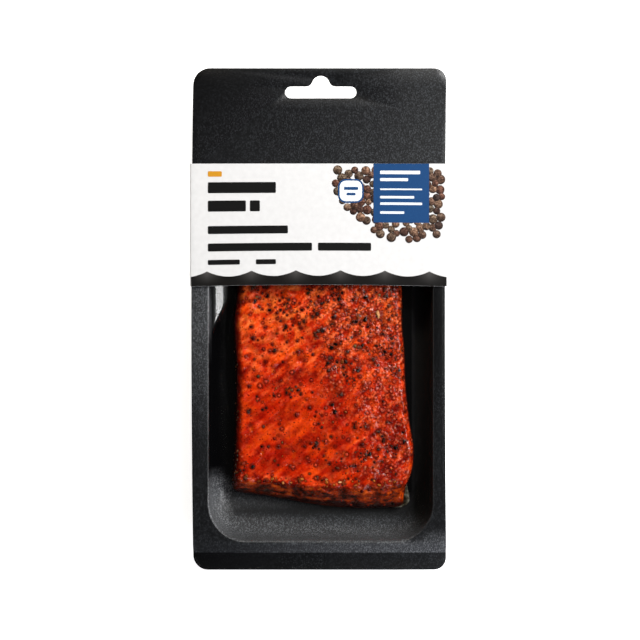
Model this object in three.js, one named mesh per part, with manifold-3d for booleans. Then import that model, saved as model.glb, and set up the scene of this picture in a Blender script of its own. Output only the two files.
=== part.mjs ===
// Hot smoked trout portion with cracked pepper, in a flat hang pack with a formed recess.
// The pack lies on its back: +X to its right, +Y to its hang slot, +Z out of its shown side.
// Millimetres. The origin is under the middle of the pack, on the surface that it lies on.
import * as THREE from 'three';
import { mergeVertices } from 'three/addons/utils/BufferGeometryUtils.js';
import Module from 'manifold-3d';

const wasm = await Module();
wasm.setup();

// Formed sheet of the tray
const SHEET = 0.6;
const FLANGE_TOP = 18.5;
const PACK_LEFT = -56.4;
const PACK_RIGHT = 57;
const PACK_BOTTOM = -112.4;
const PACK_TOP = 112.5;
const CORNER_BOTTOM_LEFT = 6.4;
const CORNER_BOTTOM_RIGHT = 5.5;
const CORNER_TOP_RIGHT = 5.6;
const CORNER_TOP_LEFT = 7.5;
const LEFT_EDGE_BOW = 0.9;
const RIGHT_EDGE_BOW = -0.6;

// Step below the recess, where the sheet drops to a lower margin with a slightly raised rim
const STEP_TOP = -100.8;
const STEP_FOOT = -104.6;
const STEP_DROP = 1.8;
const RISER = 0.4;
const RISER_SHARE = 0.12;
const RIM_WIDTH = 1.8;
const RIM_RISE = 0.25;

// Recess that holds the fish
const RECESS_LEFT = -49.4;
const RECESS_RIGHT = 50.8;
const RECESS_BOTTOM = -99.3;
const RECESS_TOP = 51;
const RECESS_CORNER = 17;
const LIP = 1;
const WALL_LEAN = 1.2;
const FOOT = 9.4;
const CORNER_STEPS = 7;
const WALL_STEPS = 5;

// How wide the recess's wall is on each side, as a share of the section that the lean and foot give
const WALL_SPREAD = { left: 0.86, right: 0.64, bottom: 1, top: 1 };

// Hang slot, a standard 32 mm euro slot
const SLOT_WIDTH = 32;
const SLOT_HEIGHT = 5.3;
const SLOT_X = 0.7;
const SLOT_Y = 101.6;
const BUMP_HEIGHT = 4.75;
const BUMP_RADIUS = 4;
const BUMP_FLARE = 3;

// Clear distance between pieces that lie on each other, and how far a cutter reaches past what it cuts
const GAP = 0.3;
const REACH = 2;

// Skin under the fish
const SKIN = 0.8;
const SKIN_BASE = SHEET + GAP;
const SKIN_PROUD = 0.7;
const SKIN_CORNER_PROUD = 0.9;
const SKIN_CORNER_FROM = 0.8;

// Fish: the footprint's edges, seen from above, as [along, across]
const FISH_BASE = SKIN_BASE + SKIN + GAP;
const LEFT_EDGE = [[-79, -39.6], [-66, -39], [-46, -38.4], [-24, -38.1], [0, -39.1], [14, -38], [28, -37.6]];
const RIGHT_EDGE = [
  [-86, 38.4], [-76, 39.4], [-70, 41.8], [-60, 43.1], [-47, 41.2], [-33, 39.6], [-12, 38.6], [0, 37.6],
  [14, 37.8], [28, 37.2],
];
const BOTTOM_EDGE = [[-40, -78.6], [-20, -81.1], [-6.7, -83.3], [10.8, -85.3], [23.3, -85.9], [43, -85.5]];
const FISH_LEFT = -39.4;
const FISH_RIGHT = 42;
const FISH_TOP = 27;
const FISH_CORNER = 3.6;

// Fish: thickness, from the thin belly side on the left to the thick back on the right
const BELLY = 11;
const BACK = 15;
const RIM = 1.6;
const LEFT_SHOULDER = 4.4;
const RIGHT_SHOULDER = 3;
const TOP_SHOULDER = 4;
const THICK_FROM = 0.75;
const CUT_FACE_LEFT = 6.8;
const CUT_FACE_RIGHT = 12.6;
const CUT_FACE_CURVE = 1.5;

// Flakes of the flesh: shallow grooves that climb to the right, and grow faint on the thick side
const FLAKE_PITCH = 6.7;
const FLAKE_DEPTH = 0.55;
const FLAKE_ANGLE = THREE.MathUtils.degToRad(38);
const FLAKE_WAVE = 1.6;
const FLAKE_WAVE_ACROSS = 11;
const FLAKE_WAVE_ALONG = 17;
const FLAKE_FADE_FROM = 0.35;
const FLAKE_FADE_TO = 0.8;
const FLAKE_FAINT = 0.35;

// Grid of the fish's top: shares of its width and length where a line is needed, and the longest step
const ACROSS_STOPS = [0, 0.008, 0.024, 0.05, 0.95, 0.978, 0.992, 1];
const ALONG_STOPS = [0, 0.012, 0.03, 0.055, 0.13, 0.96, 0.985, 0.996, 1];
const ACROSS_STEP = 0.037;
const ALONG_STEP = 0.03;
const SKIN_STOPS = [0, 0.03, 0.97, 1];
const SKIN_STEP = 0.12;

// Cracked pepper on the fish: the grains' radius, their breadth and height as shares of it,
// and their share on the bare side, on the left, next to the full share on the right
const GRAINS = 104;
const GRAIN_SEED = 7;
const GRAIN_SIZE = [0.8, 1.35];
const GRAIN_BREADTH = [0.65, 0.95];
const GRAIN_HEIGHT = 0.6;
const GRAIN_SPACING = 3.4;
const GRAIN_MARGIN = 2.6;
const GRAIN_SINK = 0.08;
const GRAIN_BARE_SHARE = 0.35;

// Clear film over the fish and the recess
const FILM = 0.3;
const FILM_MARGIN = 0.4;
const FILM_TOP_EDGE = 62;
const FILM_GAP = 0.4;
const FILM_LAP = 0.4;

// Net of the film: rings at distances in from the recess's edge, then from the fish's edge
const WALL_RINGS = [-LIP - FILM_LAP, -LIP, 0.4, 1.1, 2.6, 4.6, 7];
const FISH_RINGS = [-1.6, 0.3, 2, 4.5, 9, 15, 21, 28, 35];
const RING_CORNER_STEPS = 5;
const RING_SHORT_STEPS = 6;
const RING_LONG_STEPS = 9;
const RING_CORNER = 0.04;
const RING_CORNER_GROWTH = 0.3;
const RING_HALF = 0.49;
const DRAPE_SPACING = 1;
const DRAPE_ROUNDS = 3;

// Label band, folded round both long edges of the pack
const LABEL = 0.3;
const LABEL_BOTTOM = 14.6;
const LABEL_TOP = 69.6;
const LABEL_BOW = 0.8;
const LABEL_CROWN = 0.8;
const LABEL_RETURN = 6;
const LABEL_SIDE_GAP = 0.25;
const LABEL_STEP = 12;

const { clamp, lerp, smoothstep } = THREE.MathUtils;

// Turns a geometry into a solid that can be joined and cut.
function solid(geometry) {
  const plain = geometry.index ? geometry.clone() : geometry;
  plain.deleteAttribute('normal');
  plain.deleteAttribute('uv');
  const merged = mergeVertices(plain, 1e-4);
  const mesh = new wasm.Mesh({
    numProp: 3,
    vertProperties: new Float32Array(merged.attributes.position.array),
    triVerts: new Uint32Array(merged.index.array),
  });
  return new wasm.Manifold(mesh);
}

function geometryOf(manifold) {
  const mesh = manifold.getMesh();
  const geometry = new THREE.BufferGeometry();
  geometry.setAttribute('position', new THREE.BufferAttribute(mesh.vertProperties, 3));
  geometry.setIndex(new THREE.BufferAttribute(mesh.triVerts, 1));
  return geometry;
}

// Collects points and triangles of a closed surface.
class Surface {
  constructor() {
    this.points = [];
    this.faces = [];
  }

  point(x, y, z) {
    this.points.push(x, y, z);
    return this.points.length / 3 - 1;
  }

  quad(a, b, c, d) {
    this.faces.push(a, b, c, a, c, d);
  }

  geometry() {
    const geometry = new THREE.BufferGeometry();
    geometry.setAttribute('position', new THREE.Float32BufferAttribute(this.points, 3));
    geometry.setIndex(this.faces);
    return geometry;
  }
}

// Seeded random numbers from 0 to 1
function randomFrom(seed) {
  let state = seed;
  return () => {
    state = (state + 0x6d2b79f5) | 0;
    let mixed = Math.imul(state ^ (state >>> 15), 1 | state);
    mixed = (mixed + Math.imul(mixed ^ (mixed >>> 7), 61 | mixed)) ^ mixed;
    return ((mixed ^ (mixed >>> 14)) >>> 0) / 4294967296;
  };
}

// Smooth function through a few [position, value] pairs
function smoothThrough(pairs) {
  const positions = pairs.map(([position]) => position);
  const values = pairs.map(([, value]) => value);
  const curve = new THREE.CubicInterpolant(positions, values, 1);
  return (position) => curve.evaluate(clamp(position, positions[0], positions.at(-1)))[0];
}

// Straight-line function through [position, value] pairs
function linearThrough(pairs) {
  return (position) => {
    const next = pairs.findIndex(([end]) => end >= position);
    if (next === 0) {
      return pairs[0][1];
    }
    if (next < 0) {
      return pairs.at(-1)[1];
    }
    const [start, low] = pairs[next - 1];
    const [end, high] = pairs[next];
    return lerp(low, high, (position - start) / (end - start));
  };
}

// Grid positions: every stop, and even steps no longer than a limit between stops
function gridLines(stops, limit) {
  const lines = [stops[0]];
  for (let i = 1; i < stops.length; i += 1) {
    const count = Math.max(1, Math.ceil((stops[i] - stops[i - 1]) / limit));
    for (let step = 1; step <= count; step += 1) {
      lines.push(lerp(stops[i - 1], stops[i], step / count));
    }
  }
  return lines;
}

// A flat line of points moved sideways, to its left, by a distance
function offsetLine(points, distance) {
  return points.map((point, i) => {
    const before = points[Math.max(i - 1, 0)];
    const after = points[Math.min(i + 1, points.length - 1)];
    const incoming = point.clone().sub(before).normalize();
    const outgoing = after.clone().sub(point).normalize();
    const along = incoming.add(outgoing).normalize();
    const turn = i > 0 && i < points.length - 1 ? Math.abs(along.dot(outgoing)) : 1;
    return new THREE.Vector2(point.x - (along.y * distance) / turn, point.y + (along.x * distance) / turn);
  });
}

// Pack outline seen from above, with a different radius at each corner and bowed long edges
function packOutline(inset) {
  const corners = [
    [PACK_LEFT + inset, PACK_BOTTOM + inset, CORNER_BOTTOM_LEFT, 0],
    [PACK_RIGHT - inset, PACK_BOTTOM + inset, CORNER_BOTTOM_RIGHT, RIGHT_EDGE_BOW],
    [PACK_RIGHT - inset, PACK_TOP - inset, CORNER_TOP_RIGHT, 0],
    [PACK_LEFT + inset, PACK_TOP - inset, CORNER_TOP_LEFT, LEFT_EDGE_BOW],
  ];
  const roundness = 0.5523;
  const outline = new THREE.Shape();
  corners.forEach(([x, y, radius, bow], i) => {
    const corner = new THREE.Vector2(x, y);
    const [beforeX, beforeY] = corners[(i + 3) % 4];
    const [afterX, afterY, afterRadius] = corners[(i + 1) % 4];
    const incoming = corner.clone().sub({ x: beforeX, y: beforeY }).normalize();
    const outgoing = new THREE.Vector2(afterX, afterY).sub(corner).normalize();
    const start = corner.clone().addScaledVector(incoming, -radius);
    const end = corner.clone().addScaledVector(outgoing, radius);
    const first = start.clone().addScaledVector(incoming, roundness * radius);
    const second = end.clone().addScaledVector(outgoing, -roundness * radius);
    const next = new THREE.Vector2(afterX, afterY).addScaledVector(outgoing, -afterRadius);
    const bulge = end.clone().add(next).multiplyScalar(0.5);
    bulge.add(new THREE.Vector2(outgoing.y, -outgoing.x).multiplyScalar(2 * bow));
    if (i === 0) {
      outline.moveTo(start.x, start.y);
    }
    outline.bezierCurveTo(first.x, first.y, second.x, second.y, end.x, end.y);
    if (bow === 0) {
      outline.lineTo(next.x, next.y);
    } else {
      outline.quadraticCurveTo(bulge.x, bulge.y, next.x, next.y);
    }
  });
  return outline;
}

function prism(outline, low, high) {
  const geometry = new THREE.ExtrudeGeometry(outline, {
    depth: high - low,
    bevelEnabled: false,
    curveSegments: 6,
  });
  geometry.translate(0, 0, low);
  return geometry;
}

// Height of the sheet's top face along the pack, outside the recess
const SHEET_PROFILE = [
  [PACK_BOTTOM - 1, FLANGE_TOP - STEP_DROP + RIM_RISE],
  [PACK_BOTTOM, FLANGE_TOP - STEP_DROP + RIM_RISE],
  [PACK_BOTTOM + RIM_WIDTH, FLANGE_TOP - STEP_DROP],
  [STEP_FOOT - RISER, FLANGE_TOP - STEP_DROP],
  [STEP_FOOT + RISER, FLANGE_TOP - (1 - RISER_SHARE) * STEP_DROP],
  [STEP_TOP - RISER, FLANGE_TOP - RISER_SHARE * STEP_DROP],
  [STEP_TOP, FLANGE_TOP],
  [PACK_TOP + 1, FLANGE_TOP],
];
const sheetHeight = linearThrough(SHEET_PROFILE);

// Section through the recess wall, from the flange to the floor: x is the distance into the recess
function wallSection() {
  const wall = new THREE.Path();
  const slope = new THREE.Vector2(WALL_LEAN, SHEET - FLANGE_TOP).normalize();
  wall.moveTo(-LIP, FLANGE_TOP);
  wall.quadraticCurveTo(0, FLANGE_TOP, slope.x * LIP, FLANGE_TOP + slope.y * LIP);
  wall.lineTo(WALL_LEAN - slope.x * FOOT, SHEET - slope.y * FOOT);
  wall.quadraticCurveTo(WALL_LEAN, SHEET, WALL_LEAN + FOOT, SHEET);
  return wall.getPoints(WALL_STEPS);
}

const WALL = wallSection();
const wallHeight = linearThrough(WALL.map(({ x, y }) => [x, y]));

// Spread of the recess's wall where it faces away from a corner's centre in a direction
function cornerSpread(x, y) {
  const across = x < 0 ? WALL_SPREAD.left : WALL_SPREAD.right;
  const along = y < 0 ? WALL_SPREAD.bottom : WALL_SPREAD.top;
  return (across * x ** 2 + along * y ** 2) / (x ** 2 + y ** 2);
}

// Distance from the recess's upper edge to a point, counted into the recess along the wall's section
function distanceIntoRecess(x, y) {
  const centreX = clamp(x, RECESS_LEFT + RECESS_CORNER, RECESS_RIGHT - RECESS_CORNER);
  const centreY = clamp(y, RECESS_BOTTOM + RECESS_CORNER, RECESS_TOP - RECESS_CORNER);
  const away = Math.hypot(x - centreX, y - centreY);
  if (away > 0) {
    return (RECESS_CORNER - away) / cornerSpread(x - centreX, y - centreY);
  }
  return Math.min(
    (x - RECESS_LEFT) / WALL_SPREAD.left,
    (RECESS_RIGHT - x) / WALL_SPREAD.right,
    (y - RECESS_BOTTOM) / WALL_SPREAD.bottom,
    (RECESS_TOP - y) / WALL_SPREAD.top,
  );
}

function trayHeight(x, y) {
  const distance = distanceIntoRecess(x, y);
  return distance > -LIP ? wallHeight(distance) : sheetHeight(y);
}

// One level of the recess: its rounded rectangle, moved in by a distance along the wall's section
function recessRing(distance, z) {
  const ring = [];
  const centres = [
    [RECESS_RIGHT - RECESS_CORNER, RECESS_TOP - RECESS_CORNER],
    [RECESS_LEFT + RECESS_CORNER, RECESS_TOP - RECESS_CORNER],
    [RECESS_LEFT + RECESS_CORNER, RECESS_BOTTOM + RECESS_CORNER],
    [RECESS_RIGHT - RECESS_CORNER, RECESS_BOTTOM + RECESS_CORNER],
  ];
  centres.forEach(([x, y], quarter) => {
    for (let step = 0; step <= CORNER_STEPS; step += 1) {
      const angle = ((quarter + step / CORNER_STEPS) * Math.PI) / 2;
      const middle = ((quarter + 0.5) * Math.PI) / 2;
      const spread = cornerSpread(
        Math.sign(Math.cos(middle)) * Math.abs(Math.cos(angle)),
        Math.sign(Math.sin(middle)) * Math.abs(Math.sin(angle)),
      );
      const radius = RECESS_CORNER - distance * spread;
      ring.push([x + radius * Math.cos(angle), y + radius * Math.sin(angle), z]);
    }
  });
  return ring;
}

// Closed solid through rings of equal point counts, listed from the bottom up
function loft(rings) {
  const surface = new Surface();
  const levels = rings.map((ring) => ring.map((point) => surface.point(...point)));
  const count = rings[0].length;
  for (let level = 1; level < levels.length; level += 1) {
    for (let i = 0; i < count; i += 1) {
      const next = (i + 1) % count;
      surface.quad(levels[level - 1][i], levels[level - 1][next], levels[level][next], levels[level][i]);
    }
  }
  const bottom = levels[0];
  const top = levels.at(-1);
  for (let i = 1; i < count - 1; i += 1) {
    surface.faces.push(bottom[0], bottom[i + 1], bottom[i]);
    surface.faces.push(top[0], top[i], top[i + 1]);
  }
  return surface.geometry();
}

// Solid of the recess on the inner side of its wall, or the outer side with the sheet's thickness
function bowl(section, ceiling) {
  const rings = section.map(({ x, y }) => recessRing(x, y)).reverse();
  rings.push(recessRing(section[0].x, ceiling));
  return solid(loft(rings));
}

// Euro slot: a bar with round ends, and a round bump flared into its upper edge
function slotOutline() {
  const half = SLOT_HEIGHT / 2;
  const end = SLOT_WIDTH / 2 - half;
  const bumpY = half + BUMP_HEIGHT - BUMP_RADIUS;
  const flareY = half + BUMP_FLARE;
  const flareX = Math.sqrt((BUMP_RADIUS + BUMP_FLARE) ** 2 - (flareY - bumpY) ** 2);
  const meet = Math.atan2(flareY - bumpY, flareX);
  const outline = new THREE.Shape();
  outline.moveTo(end, -half);
  outline.absarc(end, 0, half, -Math.PI / 2, Math.PI / 2, false);
  outline.absarc(flareX, flareY, BUMP_FLARE, -Math.PI / 2, meet - Math.PI, true);
  outline.absarc(0, bumpY, BUMP_RADIUS, meet, Math.PI - meet, false);
  outline.absarc(-flareX, flareY, BUMP_FLARE, -meet, -Math.PI / 2, true);
  outline.absarc(-end, 0, half, Math.PI / 2, (3 * Math.PI) / 2, false);
  return outline;
}

// Sheet that follows the pack's profile, from one height above the tray's top face to another
function profiledSheet(low, high) {
  const upper = SHEET_PROFILE.map(([y, z]) => new THREE.Vector2(y, z + high));
  const lower = SHEET_PROFILE.map(([y, z]) => new THREE.Vector2(y, z + low));
  const section = new THREE.Shape([...lower, ...upper.reverse()]);
  const width = PACK_RIGHT - PACK_LEFT + 2 * REACH;
  const geometry = new THREE.ExtrudeGeometry(section, { depth: width, bevelEnabled: false });
  const alongY = new THREE.Vector3(0, 1, 0);
  const alongZ = new THREE.Vector3(0, 0, 1);
  const alongX = new THREE.Vector3(1, 0, 0);
  geometry.applyMatrix4(new THREE.Matrix4().makeBasis(alongY, alongZ, alongX));
  geometry.translate(PACK_LEFT - REACH, 0, 0);
  return solid(geometry);
}

function trayGeometry() {
  const outer = offsetLine(WALL, -SHEET);
  const slot = prism(slotOutline(), 0, FLANGE_TOP + REACH);
  slot.translate(SLOT_X, SLOT_Y, 0);
  const tray = profiledSheet(-SHEET, 0)
    .intersect(solid(prism(packOutline(0), 0, FLANGE_TOP + REACH)))
    .add(bowl(outer, FLANGE_TOP - SHEET / 2))
    .subtract(bowl(WALL, FLANGE_TOP + REACH))
    .subtract(solid(slot));
  return geometryOf(tray);
}

const leftEdge = smoothThrough(LEFT_EDGE);
const rightEdge = smoothThrough(RIGHT_EDGE);
const bottomEdge = smoothThrough(BOTTOM_EDGE);

// How far a round corner draws the side edge in, at a distance from the end
function cornerPull(distance) {
  const rest = clamp(FISH_CORNER - distance, 0, FISH_CORNER);
  return FISH_CORNER - Math.sqrt(FISH_CORNER ** 2 - rest ** 2);
}

// Point of the fish's footprint: 0 to 1 across and along
function footprint(across, along) {
  const bottom = bottomEdge(lerp(FISH_LEFT, FISH_RIGHT, across));
  const y = lerp(bottom, FISH_TOP, along);
  const pull = Math.max(cornerPull(y - bottom), cornerPull(FISH_TOP - y));
  return [lerp(leftEdge(y) + pull, rightEdge(y) - pull, across), y];
}

// Quarter round from 0 at an edge to 1 at a distance from it
function shoulder(distance, reach) {
  const rest = 1 - clamp(distance / reach, 0, 1);
  return Math.sqrt(Math.max(1 - rest ** 2, 0));
}

function isOverFish(x, y) {
  return x > leftEdge(y) && x < rightEdge(y) && y > bottomEdge(x) && y < FISH_TOP;
}

function fishHeight(x, y) {
  const fromLeft = x - leftEdge(y);
  const fromRight = rightEdge(y) - x;
  const fromBottom = y - bottomEdge(x);
  const across = clamp(fromLeft / (fromLeft + fromRight), 0, 1);
  const thickness = lerp(BELLY, BACK, smoothstep(across, 0, THICK_FROM));
  const cutFace = lerp(CUT_FACE_LEFT, CUT_FACE_RIGHT, across);
  const slope = 1 - (1 - clamp(fromBottom / cutFace, 0, 1)) ** CUT_FACE_CURVE;
  const sides = shoulder(fromLeft, LEFT_SHOULDER) * shoulder(fromRight, RIGHT_SHOULDER);
  const body = sides * slope * shoulder(FISH_TOP - y, TOP_SHOULDER);
  const wander = FLAKE_WAVE * Math.sin(x / FLAKE_WAVE_ACROSS + y / FLAKE_WAVE_ALONG);
  const step = (y * Math.cos(FLAKE_ANGLE) - x * Math.sin(FLAKE_ANGLE) + wander) / FLAKE_PITCH;
  const groove = (1 - Math.abs(Math.sin(Math.PI * step))) ** 2;
  const fade = lerp(1, FLAKE_FAINT, smoothstep(across, FLAKE_FADE_FROM, FLAKE_FADE_TO));
  return FISH_BASE + RIM + (thickness - RIM) * body - FLAKE_DEPTH * fade * groove * body;
}

// Closed solid under a grid of points, with upright sides and a flat base
function heightSolid(grid, base) {
  const surface = new Surface();
  const top = grid.map((row) => row.map((point) => surface.point(...point)));
  for (let j = 1; j < grid.length; j += 1) {
    for (let i = 1; i < grid[j].length; i += 1) {
      surface.quad(top[j - 1][i - 1], top[j - 1][i], top[j][i], top[j][i - 1]);
    }
  }
  const border = gridBorder(grid.length, grid[0].length);
  const rim = border.map(([j, i]) => top[j][i]);
  const foot = border.map(([j, i]) => surface.point(grid[j][i][0], grid[j][i][1], base));
  rim.forEach((point, i) => {
    const next = (i + 1) % rim.length;
    surface.quad(foot[i], foot[next], rim[next], point);
  });
  const outline = border.map(([j, i]) => new THREE.Vector2(grid[j][i][0], grid[j][i][1]));
  THREE.ShapeUtils.triangulateShape(outline, []).forEach(([a, b, c]) => {
    surface.faces.push(foot[a], foot[c], foot[b]);
  });
  return surface.geometry();
}

// Indices round the border of a grid, anticlockwise from its first point
function gridBorder(rows, columns) {
  const border = [];
  for (let i = 0; i < columns - 1; i += 1) {
    border.push([0, i]);
  }
  for (let j = 0; j < rows - 1; j += 1) {
    border.push([j, columns - 1]);
  }
  for (let i = columns - 1; i > 0; i -= 1) {
    border.push([rows - 1, i]);
  }
  for (let j = rows - 1; j > 0; j -= 1) {
    border.push([j, 0]);
  }
  return border;
}

// Closed solid between two grids of equal size, the first on the outer side
function shellSolid(outer, inner) {
  const surface = new Surface();
  const outside = outer.map((row) => row.map((point) => surface.point(...point)));
  const inside = inner.map((row) => row.map((point) => surface.point(...point)));
  for (let j = 1; j < outer.length; j += 1) {
    for (let i = 1; i < outer[j].length; i += 1) {
      surface.quad(outside[j - 1][i - 1], outside[j - 1][i], outside[j][i], outside[j][i - 1]);
      surface.quad(inside[j - 1][i - 1], inside[j][i - 1], inside[j][i], inside[j - 1][i]);
    }
  }
  const border = gridBorder(outer.length, outer[0].length);
  border.forEach(([j, i], step) => {
    const [nextJ, nextI] = border[(step + 1) % border.length];
    surface.quad(inside[j][i], inside[nextJ][nextI], outside[nextJ][nextI], outside[j][i]);
  });
  return surface.geometry();
}

// Grid of the fish's top, finer at its edges
function fishGrid() {
  const across = gridLines(ACROSS_STOPS, ACROSS_STEP);
  const along = gridLines(ALONG_STOPS, ALONG_STEP);
  return along.map((v) => across.map((u) => {
    const [x, y] = footprint(u, v);
    return [x, y, fishHeight(x, y)];
  }));
}

// Places for the pepper: apart from each other, and closer together on the right
function grainPlaces(random) {
  const places = [];
  while (places.length < GRAINS) {
    const along = random();
    const across = random();
    const share = lerp(GRAIN_BARE_SHARE, 1, smoothstep(across + along / 2, 0.3, 1.1));
    const [x, y] = footprint(across, along);
    const inside = x - leftEdge(y) > GRAIN_MARGIN && rightEdge(y) - x > GRAIN_MARGIN
      && y - bottomEdge(x) > GRAIN_MARGIN && FISH_TOP - y > TOP_SHOULDER + GRAIN_MARGIN;
    const apart = places.every((place) => Math.hypot(place[0] - x, place[1] - y) > GRAIN_SPACING);
    if (inside && apart && random() < share) {
      places.push([x, y]);
    }
  }
  return places;
}

function filletGeometry() {
  const random = randomFrom(GRAIN_SEED);
  let fillet = solid(heightSolid(fishGrid(), FISH_BASE));
  for (const [x, y] of grainPlaces(random)) {
    const size = lerp(...GRAIN_SIZE, random() ** 2);
    const grain = new THREE.IcosahedronGeometry(size, 0);
    grain.rotateX(random() * Math.PI);
    grain.rotateZ(random() * Math.PI);
    grain.scale(1, lerp(...GRAIN_BREADTH, random()), GRAIN_HEIGHT);
    grain.translate(x, y, fishHeight(x, y) - GRAIN_SINK * size);
    fillet = fillet.add(solid(grain));
  }
  return geometryOf(fillet);
}

// Skin: a thin plate that stands a little proud of the flesh, most at the thick side's cut corner
function skinGeometry() {
  const steps = gridLines(SKIN_STOPS, SKIN_STEP);
  const grid = steps.map((v) => steps.map((u) => {
    const [x, y] = footprint(u, v);
    const towardsCorner = smoothstep(u, SKIN_CORNER_FROM, 1) * smoothstep(1 - v, SKIN_CORNER_FROM, 1);
    const proud = SKIN_PROUD + SKIN_CORNER_PROUD * towardsCorner;
    return [x + (2 * u - 1) * proud, y + (2 * v - 1) * SKIN_PROUD, SKIN_BASE + SKIN];
  }));
  return heightSolid(grid, SKIN_BASE);
}

// Points spread over the upward faces of a geometry, no farther apart than a spacing
function topPoints(geometry, spacing) {
  const { position } = geometry.attributes;
  const points = [];
  for (let face = 0; face < geometry.index.count; face += 3) {
    const corners = [0, 1, 2].map((i) => (
      new THREE.Vector3().fromBufferAttribute(position, geometry.index.getX(face + i))
    ));
    const sides = corners.map((corner, i) => {
      const first = corners[(i + 1) % 3].clone().sub(corner);
      const second = corners[(i + 2) % 3].clone().sub(corner);
      return { start: corner, first, second, spread: first.length() * second.length() };
    });
    const { start, first, second } = sides.reduce((best, side) => (side.spread < best.spread ? side : best));
    const upward = first.x * second.y - first.y * second.x > 0;
    const firstSteps = Math.ceil(first.length() / spacing);
    const secondSteps = Math.ceil(second.length() / spacing);
    for (let i = 0; upward && i <= firstSteps; i += 1) {
      for (let j = 0; j <= secondSteps; j += 1) {
        const share = Math.min(j / secondSteps, 1 - i / firstSteps);
        const point = start.clone().addScaledVector(first, i / firstSteps).addScaledVector(second, share);
        points.push(point.toArray());
      }
    }
  }
  return points;
}

// Lifts the corners of a net just enough to clear every given point, none higher than it needs
function drape(net, faces, points, clearance) {
  faces.forEach((face) => {
    const [a, b, c] = face.map((corner) => net[corner]);
    const low = [0, 1].map((axis) => Math.min(a[axis], b[axis], c[axis]));
    const high = [0, 1].map((axis) => Math.max(a[axis], b[axis], c[axis]));
    const near = points.filter(([x, y]) => x >= low[0] && x <= high[0] && y >= low[1] && y <= high[1]);
    const area = (b[0] - a[0]) * (c[1] - a[1]) - (c[0] - a[0]) * (b[1] - a[1]);
    near.forEach(([x, y, z]) => {
      const second = ((x - a[0]) * (c[1] - a[1]) - (c[0] - a[0]) * (y - a[1])) / area;
      const third = ((b[0] - a[0]) * (y - a[1]) - (x - a[0]) * (b[1] - a[1])) / area;
      const weights = [1 - second - third, second, third];
      const target = z + clearance;
      const height = () => weights[0] * a[2] + second * b[2] + third * c[2];
      while (Math.min(...weights) >= 0 && height() < target - 1e-3) {
        const shares = [a, b, c].map((corner, i) => (corner[2] < target ? weights[i] : 0));
        const missing = (target - height()) / shares.reduce((sum, share) => sum + share ** 2, 0);
        [a, b, c].forEach((corner, i) => {
          corner[2] = Math.max(corner[2], Math.min(corner[2] + missing * shares[i], target));
        });
      }
    });
  });
}

// Evens out the heights along each ring of a net, from one ring inwards
function evenOut(net, count, firstRing) {
  const heights = net.map(([, , z]) => z);
  for (let i = firstRing * count; i < net.length; i += 1) {
    const start = Math.floor(i / count) * count;
    const before = heights[start + ((i - start + count - 1) % count)];
    const after = heights[start + ((i - start + 1) % count)];
    net[i][2] = (before + 2 * heights[i] + after) / 4;
  }
}

// Rounded rectangle with points on its corners and edges, anticlockwise
function roundedRing(left, right, bottom, top, radius) {
  const corners = [[right, top], [left, top], [left, bottom], [right, bottom]];
  const centres = corners.map(([x, y]) => [
    clamp(x, left + radius, right - radius),
    clamp(y, bottom + radius, top - radius),
  ]);
  return centres.flatMap(([x, y], quarter) => {
    const [nextX, nextY] = centres[(quarter + 1) % 4];
    const end = ((quarter + 1) * Math.PI) / 2;
    const points = [];
    for (let step = 0; step < RING_CORNER_STEPS; step += 1) {
      const angle = end - (1 - step / RING_CORNER_STEPS) * (Math.PI / 2);
      points.push([x + radius * Math.cos(angle), y + radius * Math.sin(angle)]);
    }
    const edgeSteps = quarter % 2 === 0 ? RING_SHORT_STEPS : RING_LONG_STEPS;
    for (let step = 0; step < edgeSteps; step += 1) {
      const alongX = lerp(x, nextX, step / edgeSteps) + radius * Math.cos(end);
      const alongY = lerp(y, nextY, step / edgeSteps) + radius * Math.sin(end);
      points.push([alongX, alongY]);
    }
    return points;
  });
}

// Ring of the film's net over the recess, at a distance from its edge
function recessNet(distance) {
  const left = RECESS_LEFT + distance * WALL_SPREAD.left;
  const right = RECESS_RIGHT - distance * WALL_SPREAD.right;
  const bottom = RECESS_BOTTOM + distance * WALL_SPREAD.bottom;
  const top = RECESS_TOP - distance * WALL_SPREAD.top;
  return roundedRing(left, right, bottom, top, RECESS_CORNER - distance);
}

// Ring of the film's net over the fish, in from the edge of its footprint
function fishNet(distance) {
  const across = distance / (FISH_RIGHT - FISH_LEFT);
  const along = distance / (FISH_TOP - BOTTOM_EDGE[0][1]);
  const widest = RING_HALF - Math.max(across, along);
  const radius = Math.min(RING_CORNER + Math.max(RING_CORNER_GROWTH * across, 0), widest);
  const ring = roundedRing(across, 1 - across, along, 1 - along, radius);
  return ring.map(([u, v]) => footprint(u, v));
}

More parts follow.
